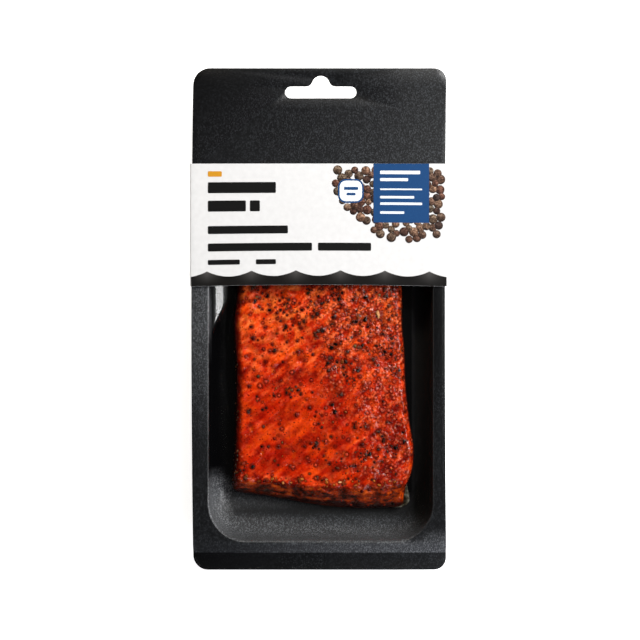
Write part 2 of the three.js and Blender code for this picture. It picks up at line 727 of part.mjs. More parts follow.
// Film over the recess: a net of rings that falls from the flange to the floor and lies on the fish
function drapedFilm(below) {
  const rings = [...WALL_RINGS.map(recessNet), ...FISH_RINGS.map(fishNet)];
  const count = rings[0].length;
  const restHeight = (x, y) => (isOverFish(x, y) ? fishHeight(x, y) : trayHeight(x, y));
  const net = rings.flat().map(([x, y]) => [x, y, restHeight(x, y) + GAP]);
  const faces = [];
  for (let ring = 1; ring < rings.length; ring += 1) {
    for (let i = 0; i < count; i += 1) {
      const next = (i + 1) % count;
      const outer = (ring - 1) * count;
      const inner = ring * count;
      faces.push([outer + i, outer + next, inner + next], [outer + i, inner + next, inner + i]);
    }
  }
  const topMiddle = RING_CORNER_STEPS + RING_SHORT_STEPS / 2;
  const lastRing = (i) => (rings.length - 1) * count + ((topMiddle + i + count) % count);
  for (let k = 1; k <= count / 2; k += 1) {
    if (k > 1) {
      faces.push([lastRing(1 - k), lastRing(k - 1), lastRing(k)]);
    }
    if (k < count / 2) {
      faces.push([lastRing(1 - k), lastRing(k), lastRing(-k)]);
    }
  }
  const points = below.flatMap((geometry) => topPoints(geometry, DRAPE_SPACING));
  drape(net, faces, points, FILM_GAP);
  for (let round = 1; round < DRAPE_ROUNDS; round += 1) {
    evenOut(net, count, WALL_RINGS.length - 1);
    drape(net, faces, points, FILM_GAP);
  }
  const surface = new Surface();
  const under = net.map(([x, y, z]) => surface.point(x, y, z));
  const over = net.map(([x, y, z]) => surface.point(x, y, z + FILM));
  faces.forEach(([a, b, c]) => {
    surface.faces.push(over[a], over[b], over[c], under[a], under[c], under[b]);
  });
  for (let i = 0; i < count; i += 1) {
    const next = (i + 1) % count;
    surface.quad(under[i], under[next], over[next], over[i]);
  }
  return solid(surface.geometry());
}

function filmGeometry(below) {
  const hole = new THREE.Shape(recessNet(-LIP - FILM_LAP / 2).map(([x, y]) => new THREE.Vector2(x, y)));
  const end = new THREE.BoxGeometry(2 * (PACK_RIGHT + REACH), PACK_TOP - FILM_TOP_EDGE + REACH, 2 * REACH);
  end.translate(0, (PACK_TOP + FILM_TOP_EDGE + REACH) / 2, FLANGE_TOP);
  const film = profiledSheet(GAP, GAP + FILM)
    .intersect(solid(prism(packOutline(FILM_MARGIN), 0, FLANGE_TOP + REACH)))
    .subtract(solid(end))
    .subtract(solid(prism(hole, 0, FLANGE_TOP + REACH)))
    .add(drapedFilm(below));
  return geometryOf(film);
}

// Label band: a C-shaped section with a slightly crowned face, drawn along the pack
function labelGeometry() {
  const inside = FLANGE_TOP + FILM + 2 * GAP;
  const underneath = FLANGE_TOP - SHEET - GAP;
  const left = PACK_LEFT - LEFT_EDGE_BOW - LABEL_SIDE_GAP;
  const right = PACK_RIGHT + LABEL_SIDE_GAP;
  const face = gridLines([-right, -left], LABEL_STEP).map((x) => {
    const middle = 1 - ((2 * -x - left - right) / (right - left)) ** 2;
    return new THREE.Vector2(-x, inside + LABEL_CROWN * middle);
  });
  const inner = [
    new THREE.Vector2(right - LABEL_RETURN, underneath),
    new THREE.Vector2(right, underneath),
    ...face,
    new THREE.Vector2(left, underneath),
    new THREE.Vector2(left + LABEL_RETURN, underneath),
  ];
  const outer = offsetLine(inner, -LABEL);
  const rows = [0, 0.25, 0.5, 0.75, 1];
  const sweep = (section) => rows.map((v) => section.map(({ x, y: z }) => {
    const middle = 1 - ((2 * x - left - right) / (right - left)) ** 2;
    return [x, lerp(LABEL_BOTTOM + LABEL_BOW * middle, LABEL_TOP, v), z];
  }));
  return shellSolid(sweep(inner), sweep(outer));
}

function piece(name, geometry, colour, roughness, extra = {}) {
  const material = new THREE.MeshStandardMaterial({ color: colour, roughness, metalness: 0, ...extra });
  const mesh = new THREE.Mesh(geometry, material);
  mesh.name = name;
  return mesh;
}

const tray = trayGeometry();
const skin = skinGeometry();
const fillet = filletGeometry();

const group = new THREE.Group();
group.add(
  piece('tray', tray, 0x2b2c2f, 0.5),
  piece('fish_skin', skin, 0x6d6f72, 0.35),
  piece('fillet', fillet, 0xa8391a, 0.4),
  piece('film', filmGeometry([tray, skin, fillet]), 0xffffff, 0.1, { transparent: true, opacity: 0.2 }),
  piece('label', labelGeometry(), 0xf2f2f2, 0.6),
);

// The pack's width and length are centred on the origin.
const box = new THREE.Box3().setFromObject(group);
group.position.set(-(box.min.x + box.max.x) / 2, -(box.min.y + box.max.y) / 2, -box.min.z);
group.updateMatrixWorld(true);

export default group;
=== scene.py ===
# Hot smoked trout portion with cracked pepper, sealed under clear film in a black formed hang pack.
# Sizes are millimetres in the pack's own drawing. Each finished piece is moved into the frame, in metres.
import math
import random

import bmesh
import bpy
import numpy as np
from mathutils import Matrix, Vector


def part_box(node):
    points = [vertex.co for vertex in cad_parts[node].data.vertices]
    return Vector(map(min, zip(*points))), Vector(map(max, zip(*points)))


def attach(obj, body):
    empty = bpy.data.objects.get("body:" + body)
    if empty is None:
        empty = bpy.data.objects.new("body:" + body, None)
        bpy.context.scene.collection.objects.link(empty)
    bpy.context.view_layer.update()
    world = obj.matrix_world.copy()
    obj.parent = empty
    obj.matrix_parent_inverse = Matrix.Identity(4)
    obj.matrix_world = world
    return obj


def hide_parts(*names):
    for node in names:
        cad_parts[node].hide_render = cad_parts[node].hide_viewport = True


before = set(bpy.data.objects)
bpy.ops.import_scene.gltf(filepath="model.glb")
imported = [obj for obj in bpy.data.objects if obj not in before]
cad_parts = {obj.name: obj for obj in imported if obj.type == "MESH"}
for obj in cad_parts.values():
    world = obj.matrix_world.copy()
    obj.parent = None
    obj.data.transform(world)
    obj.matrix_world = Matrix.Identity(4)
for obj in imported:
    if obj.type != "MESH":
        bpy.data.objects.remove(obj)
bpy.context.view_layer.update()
tray_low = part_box("tray")[0]

MM = 0.001
# Places that are closer than this, in millimetres, count as one
NEAR = 0.01

# Formed sheet of the tray: its thickness, the rounding of its edges and its outline
SHEET, SHEET_EDGE = 0.6, 0.14
FLANGE_TOP = 18.5
PACK_LEFT, PACK_RIGHT = -56.4, 57.0
PACK_BOTTOM, PACK_TOP = -112.4, 112.5
LEFT_EDGE_BOW, RIGHT_EDGE_BOW = 0.9, -0.6
PACK_CORNERS = {"bottom left": 6.4, "bottom right": 5.5, "top right": 5.6, "top left": 7.5}

# Step below the recess, and the margin under it with its slightly raised rim
STEP_TOP, STEP_FOOT, STEP_DROP = -100.8, -104.6, 1.8
RISER, RISER_SHARE = 0.4, 0.12
RIM_WIDTH, RIM_RISE = 1.8, 0.25

# Recess, and the share of its section's width that each wall takes up
RECESS_LEFT, RECESS_RIGHT = -49.4, 50.8
RECESS_BOTTOM, RECESS_TOP = -99.3, 51.0
RECESS_CORNER = 17.0
LIP, WALL_LEAN, FOOT = 1.0, 1.2, 9.4
SPREAD_LEFT, SPREAD_RIGHT, SPREAD_BOTTOM, SPREAD_TOP = 0.86, 0.64, 1.0, 1.0
# Width of the right wall with its foot: past it the floor is glossy
WALL_FOOT_RIGHT = 8.8
# Distances from the recess's lower edge at which the mesh is cut, as painted sheen and highlights change fast
# there
FINE_CUTS = (8.5, 12, 19, 22, 29, 32.5)

# Euro slot
SLOT_WIDTH, SLOT_HEIGHT = 32.0, 5.3
SLOT_X, SLOT_Y = 0.7, 101.6
BUMP_HEIGHT, BUMP_RADIUS, BUMP_FLARE = 4.75, 4.0, 3.0

# Fish
GAP = 0.3
# Room for the skin under the flesh, the level that it starts at, and its own thickness
SKIN, SKIN_BASE, SKIN_THICK = 0.8, 0.9, 0.6
FISH_BASE = 2.0
LEFT_EDGE = [(-79, -39.6), (-66, -39), (-46, -38.4), (-24, -38.1), (0, -39.1), (14, -38), (28, -37.6)]
RIGHT_EDGE = [
    (-86, 38.4), (-76, 39.4), (-70, 41.8), (-60, 43.1), (-47, 41.2), (-33, 39.6), (-12, 38.6), (0, 37.6),
    (14, 37.8), (28, 37.2),
]
BOTTOM_EDGE = [(-40, -78.6), (-20, -81.1), (-6.7, -83.3), (10.8, -85.3), (23.3, -85.9), (43, -85.5)]
FISH_LEFT, FISH_RIGHT, FISH_TOP, FISH_CORNER = -39.4, 42.0, 27.0, 3.6
BELLY, BACK, RIM = 11.0, 15.0, 1.6
LEFT_SHOULDER, RIGHT_SHOULDER, TOP_SHOULDER = 4.4, 3.0, 4.0
THICK_FROM = 0.75
CUT_FACE_LEFT, CUT_FACE_RIGHT, CUT_FACE_CURVE = 6.8, 12.6, 1.5
FLAKE_PITCH, FLAKE_ANGLE = 6.7, math.radians(38)

# Label band
FILM = 0.3
LABEL = 0.3
LABEL_BOTTOM, LABEL_TOP = 14.6, 69.6
LABEL_BOW, LABEL_CROWN = 0.8, 0.8
LABEL_RETURN, LABEL_SIDE_GAP, LABEL_FOLD = 6.0, 0.25, 0.7
LABEL_LEFT = PACK_LEFT - LEFT_EDGE_BOW - LABEL_SIDE_GAP - LABEL
LABEL_RIGHT = PACK_RIGHT + LABEL_SIDE_GAP + LABEL
# Lowers the face so that the print laid on it stays inside the CAD box
PRINT_ROOM = 0.22
LABEL_FACE = FLANGE_TOP + FILM + 2 * GAP + LABEL - PRINT_ROOM

# Thickness of the print on the label, and how high its layers lie
PRINT_THICK = 0.03
SEED_LEVEL, PAPER_LEVEL, PANEL_LEVEL, LINE_LEVEL, BADGE_LEVEL = 0.02, 0.03, 0.09, 0.13, 0.17
# Scalloped upper edge of the dark band
WAVE_PITCH = 19.9
WAVE_CUSP_X, WAVE_CUSP_Y, WAVE_TROUGH_Y = -50.2, 21.3, 18.7
# Heap of printed seeds: its middle, half width and half length, and its seeds' smallest and largest radius
SEED_HEAP_X, SEED_HEAP_Y, SEED_HEAP_WIDE, SEED_HEAP_LONG = 40, 66, 31, 29
SEED_RADII = (1.6, 2.35)

# Millimetres to a pixel of the photo, its column and row at the drawing's origin, and its width in pixels
PIXEL, PHOTO_MIDDLE, PHOTO_WIDTH = 0.448, 319.2, 640

# Film, thinner here than its solid and clinging to what it covers
FILM_TOP_EDGE, FILM_MARGIN = 62.0, 0.4
FILM_THICK, FILM_CLEAR, GRAIN_CLEAR = 0.06, 0.08, 0.04
STEEPEST_DRAPE, DRAPE_ROUNDS, SOFTENING_ROUNDS = 2.2, 30, 3
TENT_DEPTH, TENT_REACH, TENT_CURVE = 7.3, 12.0, 1.7
TENT_END_LEFT, TENT_END_RIGHT = -13.0, 6.0

# Where the drawing's origin lies in the frame
SHIFT = Vector((tray_low.x - (PACK_LEFT - LEFT_EDGE_BOW) * MM, tray_low.y - PACK_BOTTOM * MM, 0))


# Colours and materials

def linear(hex_text):
    """An sRGB hex colour as the linear colour with alpha that Blender's sockets take."""
    parts = [int(hex_text[i:i + 2], 16) / 255 for i in (1, 3, 5)]
    return [c / 12.92 if c <= 0.04045 else ((c + 0.055) / 1.055) ** 2.4 for c in parts] + [1.0]


def fill(tree, inputs, values):
    """Fills a node's inputs with values or with other nodes' outputs."""
    for name, value in values.items():
        if isinstance(value, bpy.types.NodeSocket):
            tree.links.new(value, inputs[name])
        else:
            inputs[name].default_value = value


def add_node(tree, kind, inputs=None, **settings):
    """Adds a shader node, makes its settings and fills its inputs."""
    made = tree.nodes.new("ShaderNode" + kind)
    for name, value in settings.items():
        setattr(made, name, value)
    fill(tree, made.inputs, inputs or {})
    return made


def new_material(name):
    """A material with only a Principled shader, and its node tree."""
    material = bpy.data.materials.new(name)
    material.use_nodes = True
    return material, material.node_tree


def surface(tree, values):
    """Fills the inputs of the Principled shader."""
    fill(tree, tree.nodes["Principled BSDF"].inputs, values)


def object_place(tree):
    return add_node(tree, "TexCoord").outputs["Object"]


def stretched(tree, place, scale):
    return add_node(tree, "Mapping", {"Vector": place, "Scale": scale}).outputs[0]


def mask(tree, name):
    """One of the piece's own masks, from 0 to 1."""
    return add_node(tree, "Attribute", attribute_name=name).outputs["Fac"]


def noise(tree, place, size, detail, **more):
    """Soft random spots of a size in millimetres."""
    values = {"Vector": place, "Scale": 1 / (size * MM), "Detail": detail, **more}
    return add_node(tree, "TexNoise", values).outputs["Fac"]


def cells(tree, place, size):
    """Outputs of a pattern of cells of a size in millimetres."""
    return add_node(tree, "TexVoronoi", {"Vector": place, "Scale": 1 / (size * MM)}).outputs


def ramp(tree, value, stops):
    """Colour ramp through (value, hex colour) stops."""
    made = add_node(tree, "ValToRGB", {"Fac": value})
    for i, (place, colour) in enumerate(stops):
        stop = made.color_ramp.elements[i] if i < 2 else made.color_ramp.elements.new(place)
        stop.position = place
        stop.color = linear(colour)
    return made.outputs["Color"]


def ranged(tree, value, low, high, start=0.0, end=1.0):
    """Runs from low to high while the value runs from start to end."""
    values = {"Value": value, "From Min": start, "From Max": end, "To Min": low, "To Max": high}
    return add_node(tree, "MapRange", values).outputs[0]


def combined(tree, operation, *values):
    return add_node(tree, "Math", dict(enumerate(values)), operation=operation).outputs[0]


def mixed(tree, factor, first, second):
    """Mix of two numbers: first at factor 0, second at factor 1."""
    return add_node(tree, "Mix", {0: factor, 2: first, 3: second}).outputs[0]


def blended(tree, factor, first, second, blend="MIX"):
    """Mix of two colours: first at factor 0, second at factor 1. Hex text is a fixed colour."""
    first, second = [linear(c) if isinstance(c, str) else c for c in (first, second)]
    mix = add_node(tree, "Mix", {0: factor, 6: first, 7: second}, data_type="RGBA", blend_type=blend)
    return mix.outputs[2]


def bumped(tree, height, strength, depth):
    """Fine relief with a depth in millimetres."""
    return add_node(tree, "Bump", {"Height": height, "Strength": strength, "Distance": depth * MM}).outputs[0]


def black_sheet_material():
    """Black calendered PET sheet: orange peel with grains painted lighter as glints, twice as coarse so that
    they show, and painted sheen and highlights from its masks.
    """
    grain = 0.34
    material, tree = new_material("black_calendered_PET")
    along = stretched(tree, object_place(tree), (1.0, 0.75, 1.0))
    grains = cells(tree, along, grain)["Color"]
    painted_glint = ramp(tree, grains, [(0.4, "#17181a"), (0.6, "#232527"), (0.82, "#484b4f")])
    # Lighter grey of the painted highlights
    painted_highlight_tone = ramp(tree, grains, [(0.4, "#444547"), (0.6, "#5a5c5e"), (0.8, "#88898c")])
    # Painted sheen: the haze mask lightens the sheet towards grains painted as glints, and roughens it
    haze_and_painted_sheen = mask(tree, "haze_and_painted_sheen")
    colour = blended(tree, haze_and_painted_sheen, "#040405", painted_glint)
    surface(tree, {
        "Base Color": blended(tree, mask(tree, "painted_highlight"), colour, painted_highlight_tone),
        "Roughness": mixed(tree, mask(tree, "matt"), ranged(tree, haze_and_painted_sheen, 0.23, 0.44), 0.8),
        "Normal": bumped(tree, noise(tree, along, grain / 0.6, 3.0), 0.35, 0.15),
        "IOR": 1.5, "Specular IOR Level": 0.38,
    })
    return material


def clear_film_material():
    """Clear vacuum film: see-through, glossiest at grazing angles, and hardly glossy where it clings."""
    material, tree = new_material("clear_vacuum_film")
    tree.nodes.remove(tree.nodes["Principled BSDF"])
    ripple = bumped(tree, noise(tree, object_place(tree), 3, 2.0), 0.25, 0.15)
    clear = add_node(tree, "BsdfTransparent", {"Color": linear("#fdfdfd")}).outputs[0]
    gloss = add_node(tree, "BsdfGlossy", {"Roughness": 0.16, "Normal": ripple}, distribution="GGX").outputs[0]
    grazing = add_node(tree, "LayerWeight", {"Blend": 0.5, "Normal": ripple}).outputs["Facing"]
    share = combined(tree, "MULTIPLY_ADD", combined(tree, "POWER", grazing, 4.0), 0.25, 0.036)
    share = combined(tree, "MULTIPLY", share, ranged(tree, mask(tree, "cling"), 1.0, 0.06))
    both = add_node(tree, "MixShader", {0: share, 1: clear, 2: gloss}).outputs[0]
    tree.links.new(both, tree.nodes["Material Output"].inputs["Surface"])
    return material


def smoked_flesh_material():
    """Hot smoked trout flesh: oily and translucent, orange where bare, red brown under smoke and spice, with
    painted shade, sheen, glints and highlights.
    """
    material, tree = new_material("smoked_trout_flesh")
    place = object_place(tree)
    turned = add_node(tree, "Mapping", {"Vector": place, "Rotation": (0, 0, -FLAKE_ANGLE)}).outputs[0]
    flakes = stretched(tree, turned, (0.5, 1.0, 1.0))
    spiced, cut = mask(tree, "spiced"), mask(tree, "cut")

    patches = noise(tree, flakes, 6, 3.0, Roughness=0.55)
    colour = ramp(tree, patches, [(0.36, "#ae1500"), (0.5, "#d43103"), (0.64, "#f4550c")])
    colour = blended(tree, mask(tree, "warm"), colour, "#ff8a38")
    # Pinkish painted sheen in soft patches
    pink_painted_sheen = ranged(tree, noise(tree, flakes, 2.6, 3.0), 0.0, 0.36, 0.52, 0.7)
    colour = blended(tree, pink_painted_sheen, colour, "#e25a46")
    colour = blended(tree, mask(tree, "flake"), colour, "#9c1402")
    colour = blended(tree, combined(tree, "MULTIPLY", spiced, 0.5), colour, "#96300e")

    grains = noise(tree, flakes, 1.9, 2.0, Roughness=0.5)
    spotted = ramp(tree, grains, [(0.36, "#8c1202"), (0.5, "#cc3204"), (0.66, "#fa7640")])
    colour = blended(tree, mask(tree, "rough"), colour, spotted)
    # Painted shade in the hollows between the folds, and darker towards the lower end
    shade = ramp(tree, mask(tree, "painted_shade"), [(0.2, "#ffffff"), (0.55, "#e8c8c0"), (0.95, "#8c3a30")])
    colour = blended(tree, 1.0, colour, shade, "MULTIPLY")
    # Crust marks: dark grit in its own colour, painted glints on grit tops, painted shade and highlights on
    # beads
    crust = {"dark_grit": "#4c0c04", "grit_painted_glint": "#f49468", "rim_shade_and_cut_line": "#420606", "bead_painted_highlight": "#ee8060"}
    for name, tone in crust.items():
        colour = blended(tree, mask(tree, name), colour, tone)

    specks = cells(tree, place, 1.1)
    dot = ranged(tree, specks["Distance"], 0.0, 1.0, 0.34, 0.18)
    kept = combined(tree, "GREATER_THAN", specks["Color"], ranged(tree, spiced, 0.5, 0.42))
    colour = blended(tree, combined(tree, "MULTIPLY", dot, kept), colour, "#5a0c04")
    # Painted shade darkens the grooves between the flakes
    colour = blended(tree, mask(tree, "groove"), colour, "#981402")
    colour = blended(tree, mask(tree, "grain_darkening"), colour, "#560c02")

    layers = noise(tree, stretched(tree, place, (0.7, 1.0, 1.0)), 3.4, 4.0, Roughness=0.62)
    browned = ramp(tree, layers, [(0.38, "#1c0802"), (0.46, "#561602"), (0.54, "#9c2c02"), (0.66, "#dc5606")])
    colour = blended(tree, cut, colour, browned)
    # Painted shade on the fish's sides
    colour = blended(tree, mask(tree, "side"), colour, "#741200")
    # Painted shadow at the fish's foot
    colour = blended(tree, mask(tree, "foot"), colour, "#1a0604")

    relief = combined(tree, "MULTIPLY", noise(tree, place, 1.1, 2.0), ranged(tree, spiced, 0.75, 1.0))
    surface(tree, {
        "Base Color": colour, "Normal": bumped(tree, relief, 0.7, 0.6),
        "Roughness": ranged(tree, cut, 0.16, 0.35), "IOR": 1.4, "Specular IOR Level": 0.34,
        "Coat Weight": 0.08, "Coat Roughness": 0.08,
        "Subsurface Weight": 0.08, "Subsurface Radius": (2.0, 0.6, 0.25), "Subsurface Scale": 0.5 * MM,
    })
    return material


def spice_material(name, dark, middle, light, size, roughness=0.35):
    """Broken dry spice in three shades that differ from grain to grain, darkest round each grain's rim."""
    material, tree = new_material(name)
    patches = noise(tree, object_place(tree), size, 3.0)
    mottled = mixed(tree, 0.5, patches, mask(tree, "tint"))
    shade = ramp(tree, mottled, [(0.35, dark), (0.5, middle), (0.65, light)])
    inner = ranged(tree, mask(tree, "core"), 0.15, 1.0, 0.1, 0.55)
    surface(tree, {
        "Base Color": blended(tree, inner, dark, shade), "Normal": bumped(tree, patches, 0.6, 0.15),
        "Roughness": roughness, "Specular IOR Level": 0.09,
    })
    return material


def silver_skin_material():
    """Trout skin: silver grey with small scales and dark freckles, wet."""
    material, tree = new_material("silver_trout_skin")
    place = object_place(tree)
    freckles = noise(tree, place, 3.5, 2.0)
    surface(tree, {
        "Base Color": ramp(tree, freckles, [(0.38, "#241c12"), (0.5, "#686250"), (0.66, "#c4c2b4")]),
        "Normal": bumped(tree, cells(tree, place, 1.2)["Distance"], 0.6, 0.2),
        "Roughness": 0.25, "Metallic": 0.35,
    })
    return material


def label_card_material():
    """Coated label paper: bright white with a soft sheen and a faint fibre cloudiness."""
    material, tree = new_material("coated_white_paper")
    fibre = noise(tree, object_place(tree), 2.5, 4.0)
    surface(tree, {
        "Base Color": ramp(tree, fibre, [(0.3, "#c8c8c8"), (0.7, "#cecece")]),
        "Normal": bumped(tree, fibre, 0.06, 0.1), "Roughness": 0.3, "IOR": 1.45,
    })
    return material


def ink_surface(tree, colour):
    """The shader of print that lies under the label's varnish."""
    surface(tree, {"Base Color": colour, "Roughness": 0.28, "IOR": 1.45})


def ink_material(name, colour, speckle, amount, mist=None):
    """Offset printing ink: one colour with a slight screen speckle, paler by a mist mask where it has one."""
    material, tree = new_material(name)
    share = ranged(tree, noise(tree, object_place(tree), 0.6, 2.0), 0.0, amount, 0.4, 0.75)
    tone = blended(tree, share, colour, speckle)
    if mist:
        tone = blended(tree, mask(tree, "mist"), tone, mist)
    ink_surface(tree, tone)
    return material


def seed_print_material():
    """Brown seeds as offset print, each with its own tint, lit side and dark rim."""
    material, tree = new_material("seed_print_brown")
    mottle = noise(tree, object_place(tree), 0.8, 4.0, Roughness=0.75)
    tints = [(0.0, "#584a46"), (0.3, "#a07462"), (0.6, "#8c8270"), (1.0, "#d8ae90")]
    kinds = ramp(tree, mask(tree, "tint"), tints)
    patchy = ramp(tree, mottle, [(0.38, "#463a36"), (0.5, "#b0a49e"), (0.6, "#ffffff")])
    light = ramp(tree, mask(tree, "lit"), [(0.1, "#4c4442"), (0.5, "#c0bab8"), (0.9, "#ffffff")])
    tone = blended(tree, 1.0, kinds, patchy, "MULTIPLY")
    tone = blended(tree, 1.0, tone, light, "MULTIPLY")
    rim = ranged(tree, mask(tree, "rim"), 0.0, 0.75, 0.65, 1.0)
    ink_surface(tree, blended(tree, rim, tone, "#1e1412"))
    return material


# Modelling

def only(obj):
    bpy.ops.object.select_all(action="DESELECT")
    obj.select_set(True)
    bpy.context.view_layer.objects.active = obj


def edit(obj):
    only(obj)
    bpy.ops.object.mode_set(mode="EDIT")


def leave_edit():
    bpy.ops.object.mode_set(mode="OBJECT")


def placed(name, data):
    """A new object with that data, in the scene."""
    obj = bpy.data.objects.new(name, data)
    bpy.context.scene.collection.objects.link(obj)
    return obj


def add_grid(columns, rows):
    """A new flat grid, and how far across and along it each of its points is, from 0 to 1."""
    bpy.ops.object.select_all(action="DESELECT")
    bpy.ops.mesh.primitive_grid_add(x_subdivisions=columns, y_subdivisions=rows, size=1)
    grid = bpy.context.object
    flat = points_of(grid) * MM + 0.5
    return grid, flat[:, 0], flat[:, 1]


def between(start, end, count):
    """Places that part a length into that many even stretches."""
    return [start + (end - start) * i / count for i in range(1, count)]


def cut_through(axis, places):
    """In edit mode, cuts the whole mesh square to an axis at those places, in millimetres."""
    normal = [float(i == axis) for i in range(3)]
    for place in places:
        bpy.ops.mesh.select_all(action="SELECT")
        bpy.ops.mesh.bisect(plane_co=[n * place * MM for n in normal], plane_no=normal)


def face_outwards():
    """In edit mode, turns all faces outwards."""
    bpy.ops.mesh.select_all(action="SELECT")
    bpy.ops.mesh.normals_make_consistent(inside=False)


def select(obj, kind, test):
    """In edit mode, selects only the vertices, edges or faces whose middle passes a test, in millimetres."""
    bpy.ops.mesh.select_mode(type=kind)
    bpy.ops.mesh.select_all(action="DESELECT")
    mesh = bmesh.from_edit_mesh(obj.data)
    for part in {"VERT": mesh.verts, "EDGE": mesh.edges, "FACE": mesh.faces}[kind]:
        middle = part.co if kind == "VERT" else sum((v.co for v in part.verts), Vector()) / len(part.verts)
        if test(middle / MM):
            part.select_set(True)
    mesh.select_flush_mode()
    bmesh.update_edit_mesh(obj.data)


def apply_modifier(obj, kind, **settings):
    only(obj)
    modifier = obj.modifiers.new("shape", kind)
    for name, value in settings.items():
        setattr(modifier, name, value)
    bpy.ops.object.modifier_apply(modifier=modifier.name)


def round_edges(obj, width):
    """Rounds all sharp edges by a width in millimetres."""
    sharp = math.radians(60)
    apply_modifier(obj, "BEVEL", width=width * MM, segments=2, limit_method="ANGLE", angle_limit=sharp)


def points_of(obj):
    """An object's vertices as an array, in millimetres."""
    points = np.zeros(len(obj.data.vertices) * 3)
    obj.data.vertices.foreach_get("co", points)
    return points.reshape(-1, 3) / MM


def set_points(obj, points):
    obj.data.vertices.foreach_set("co", (np.asarray(points) * MM).ravel())
    obj.data.update()


def set_mask(obj, name, values):
    attribute = obj.data.attributes.new(name, "FLOAT", "POINT")
    attribute.data.foreach_set("value", np.asarray(values, np.float32))


def smooth_shaded(obj, degrees):
    only(obj)
    bpy.ops.object.shade_smooth_by_angle(angle=math.radians(degrees))


def finished(obj, name, material, replaced=None):
    """Moves a finished mesh into the frame, names it, gives it its material, hangs it on the root and hides
    the part it replaces.
    """
    obj.data.transform(Matrix.Translation(SHIFT))
    obj.name = name
    obj.data.name = name
    obj.data.materials.clear()
    obj.data.materials.append(material)
    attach(obj, "root")
    if replaced:
        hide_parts(replaced)


# Smooth curves and random fields

def smoothstep(value, low, high):
    t = np.clip((value - low) / (high - low), 0, 1)
    return t * t * (3 - 2 * t)


def through(pairs, position):
    """Smooth curve through (position, value) pairs."""
    places, values = np.array(pairs, float).T
    slopes = np.gradient(values, places)
    position = np.clip(position, places[0], places[-1])
    i = np.clip(np.searchsorted(places, position, side="right") - 1, 0, len(places) - 2)
    width = places[i + 1] - places[i]
    t = (position - places[i]) / width
    start = (1 + 2 * t) * (1 - t) ** 2 * values[i] + t * (1 - t) ** 2 * width * slopes[i]
    end = t * t * (3 - 2 * t) * values[i + 1] + t * t * (t - 1) * width * slopes[i + 1]
    return start + end


TABLE_SIZE = 256
RANDOM_TABLE = np.random.default_rng(41).random((3, TABLE_SIZE, TABLE_SIZE))


def table_value(layer, i, j):
    return RANDOM_TABLE[layer][j % TABLE_SIZE, i % TABLE_SIZE]


def rolling(x, y, size, seed=0):
    """Smooth random heights from -1 to 1, whose hills are about two sizes apart."""
    u, v = np.asarray(x) / size + 37.3 * seed, np.asarray(y) / size + 19.1 * seed
    i, j = np.floor(u).astype(int), np.floor(v).astype(int)
    s, t = smoothstep(u - i, 0, 1), smoothstep(v - j, 0, 1)
    low = table_value(0, i, j) * (1 - s) + table_value(0, i + 1, j) * s
    high = table_value(0, i, j + 1) * (1 - s) + table_value(0, i + 1, j + 1) * s
    return 2 * (low * (1 - t) + high * t) - 1


def granules(x, y, size, seed=0):
    """Distance in sizes to the nearest of centres scattered one size apart, and its random share."""
    u, v = np.asarray(x) / size + 23.7 * seed, np.asarray(y) / size + 11.9 * seed
    i, j = np.floor(u).astype(int), np.floor(v).astype(int)
    nearest = np.full(np.shape(u), 9.0)
    share = np.zeros(np.shape(u))
    for di in (-1, 0, 1):
        for dj in (-1, 0, 1):
            ni, nj = i + di, j + dj
            away = np.hypot(u - i - di - table_value(0, ni, nj), v - j - dj - table_value(1, ni, nj))
            closer = away < nearest
            nearest = np.where(closer, away, nearest)
            share = np.where(closer, table_value(2, ni, nj), share)
    return nearest, share


# Tray

SHEET_PROFILE = [
    (PACK_BOTTOM - 1, FLANGE_TOP - STEP_DROP + RIM_RISE),
    (PACK_BOTTOM, FLANGE_TOP - STEP_DROP + RIM_RISE),
    (PACK_BOTTOM + RIM_WIDTH, FLANGE_TOP - STEP_DROP),
    (STEP_FOOT - RISER, FLANGE_TOP - STEP_DROP),
    (STEP_FOOT + RISER, FLANGE_TOP - (1 - RISER_SHARE) * STEP_DROP),
    (STEP_TOP - RISER, FLANGE_TOP - RISER_SHARE * STEP_DROP),
    (STEP_TOP, FLANGE_TOP),
    (PACK_TOP + 1, FLANGE_TOP),
]


def sheet_height(y):
    """Height of the sheet's upper face outside the recess."""
    return np.interp(y, *np.array(SHEET_PROFILE).T)


def quadratic(start, middle, end, steps):
    """Points on a quadratic curve, without its first one."""
    points = []
    for i in range(steps):
        t = (i + 1) / steps
        first, second, third = (1 - t) ** 2, 2 * t * (1 - t), t * t
        points.append(tuple(first * a + second * b + third * c for a, b, c in zip(start, middle, end)))
    return points


def wall_section():
    """Section of the recess wall as (distance into the recess, height)."""
    slope = Vector((WALL_LEAN, SHEET - FLANGE_TOP)).normalized()
    lip_end = (slope.x * LIP, FLANGE_TOP + slope.y * LIP)
    foot_start = (WALL_LEAN - slope.x * FOOT, SHEET - slope.y * FOOT)
    points = [(-LIP, FLANGE_TOP)]
    points += quadratic((-LIP, FLANGE_TOP), (0, FLANGE_TOP), lip_end, 6)
    points += [foot_start]
    points += quadratic(foot_start, (WALL_LEAN, SHEET), (WALL_LEAN + FOOT, SHEET), 16)
    return points


WALL = wall_section()


def recess_place(x, y):
    """A place in the recess, taken from the nearest point that is a corner's radius inside its upper edge.

    Gives that point, how far away it is, and the spread of the wall in that direction."""
    centre_x = np.clip(x, RECESS_LEFT + RECESS_CORNER, RECESS_RIGHT - RECESS_CORNER)
    centre_y = np.clip(y, RECESS_BOTTOM + RECESS_CORNER, RECESS_TOP - RECESS_CORNER)
    dx, dy = x - centre_x, y - centre_y
    away = np.maximum(np.hypot(dx, dy), 1e-6)
    spread_x = np.where(dx < 0, SPREAD_LEFT, SPREAD_RIGHT)
    spread_y = np.where(dy < 0, SPREAD_BOTTOM, SPREAD_TOP)
    return centre_x, centre_y, away, (spread_x * dx ** 2 + spread_y * dy ** 2) / away ** 2


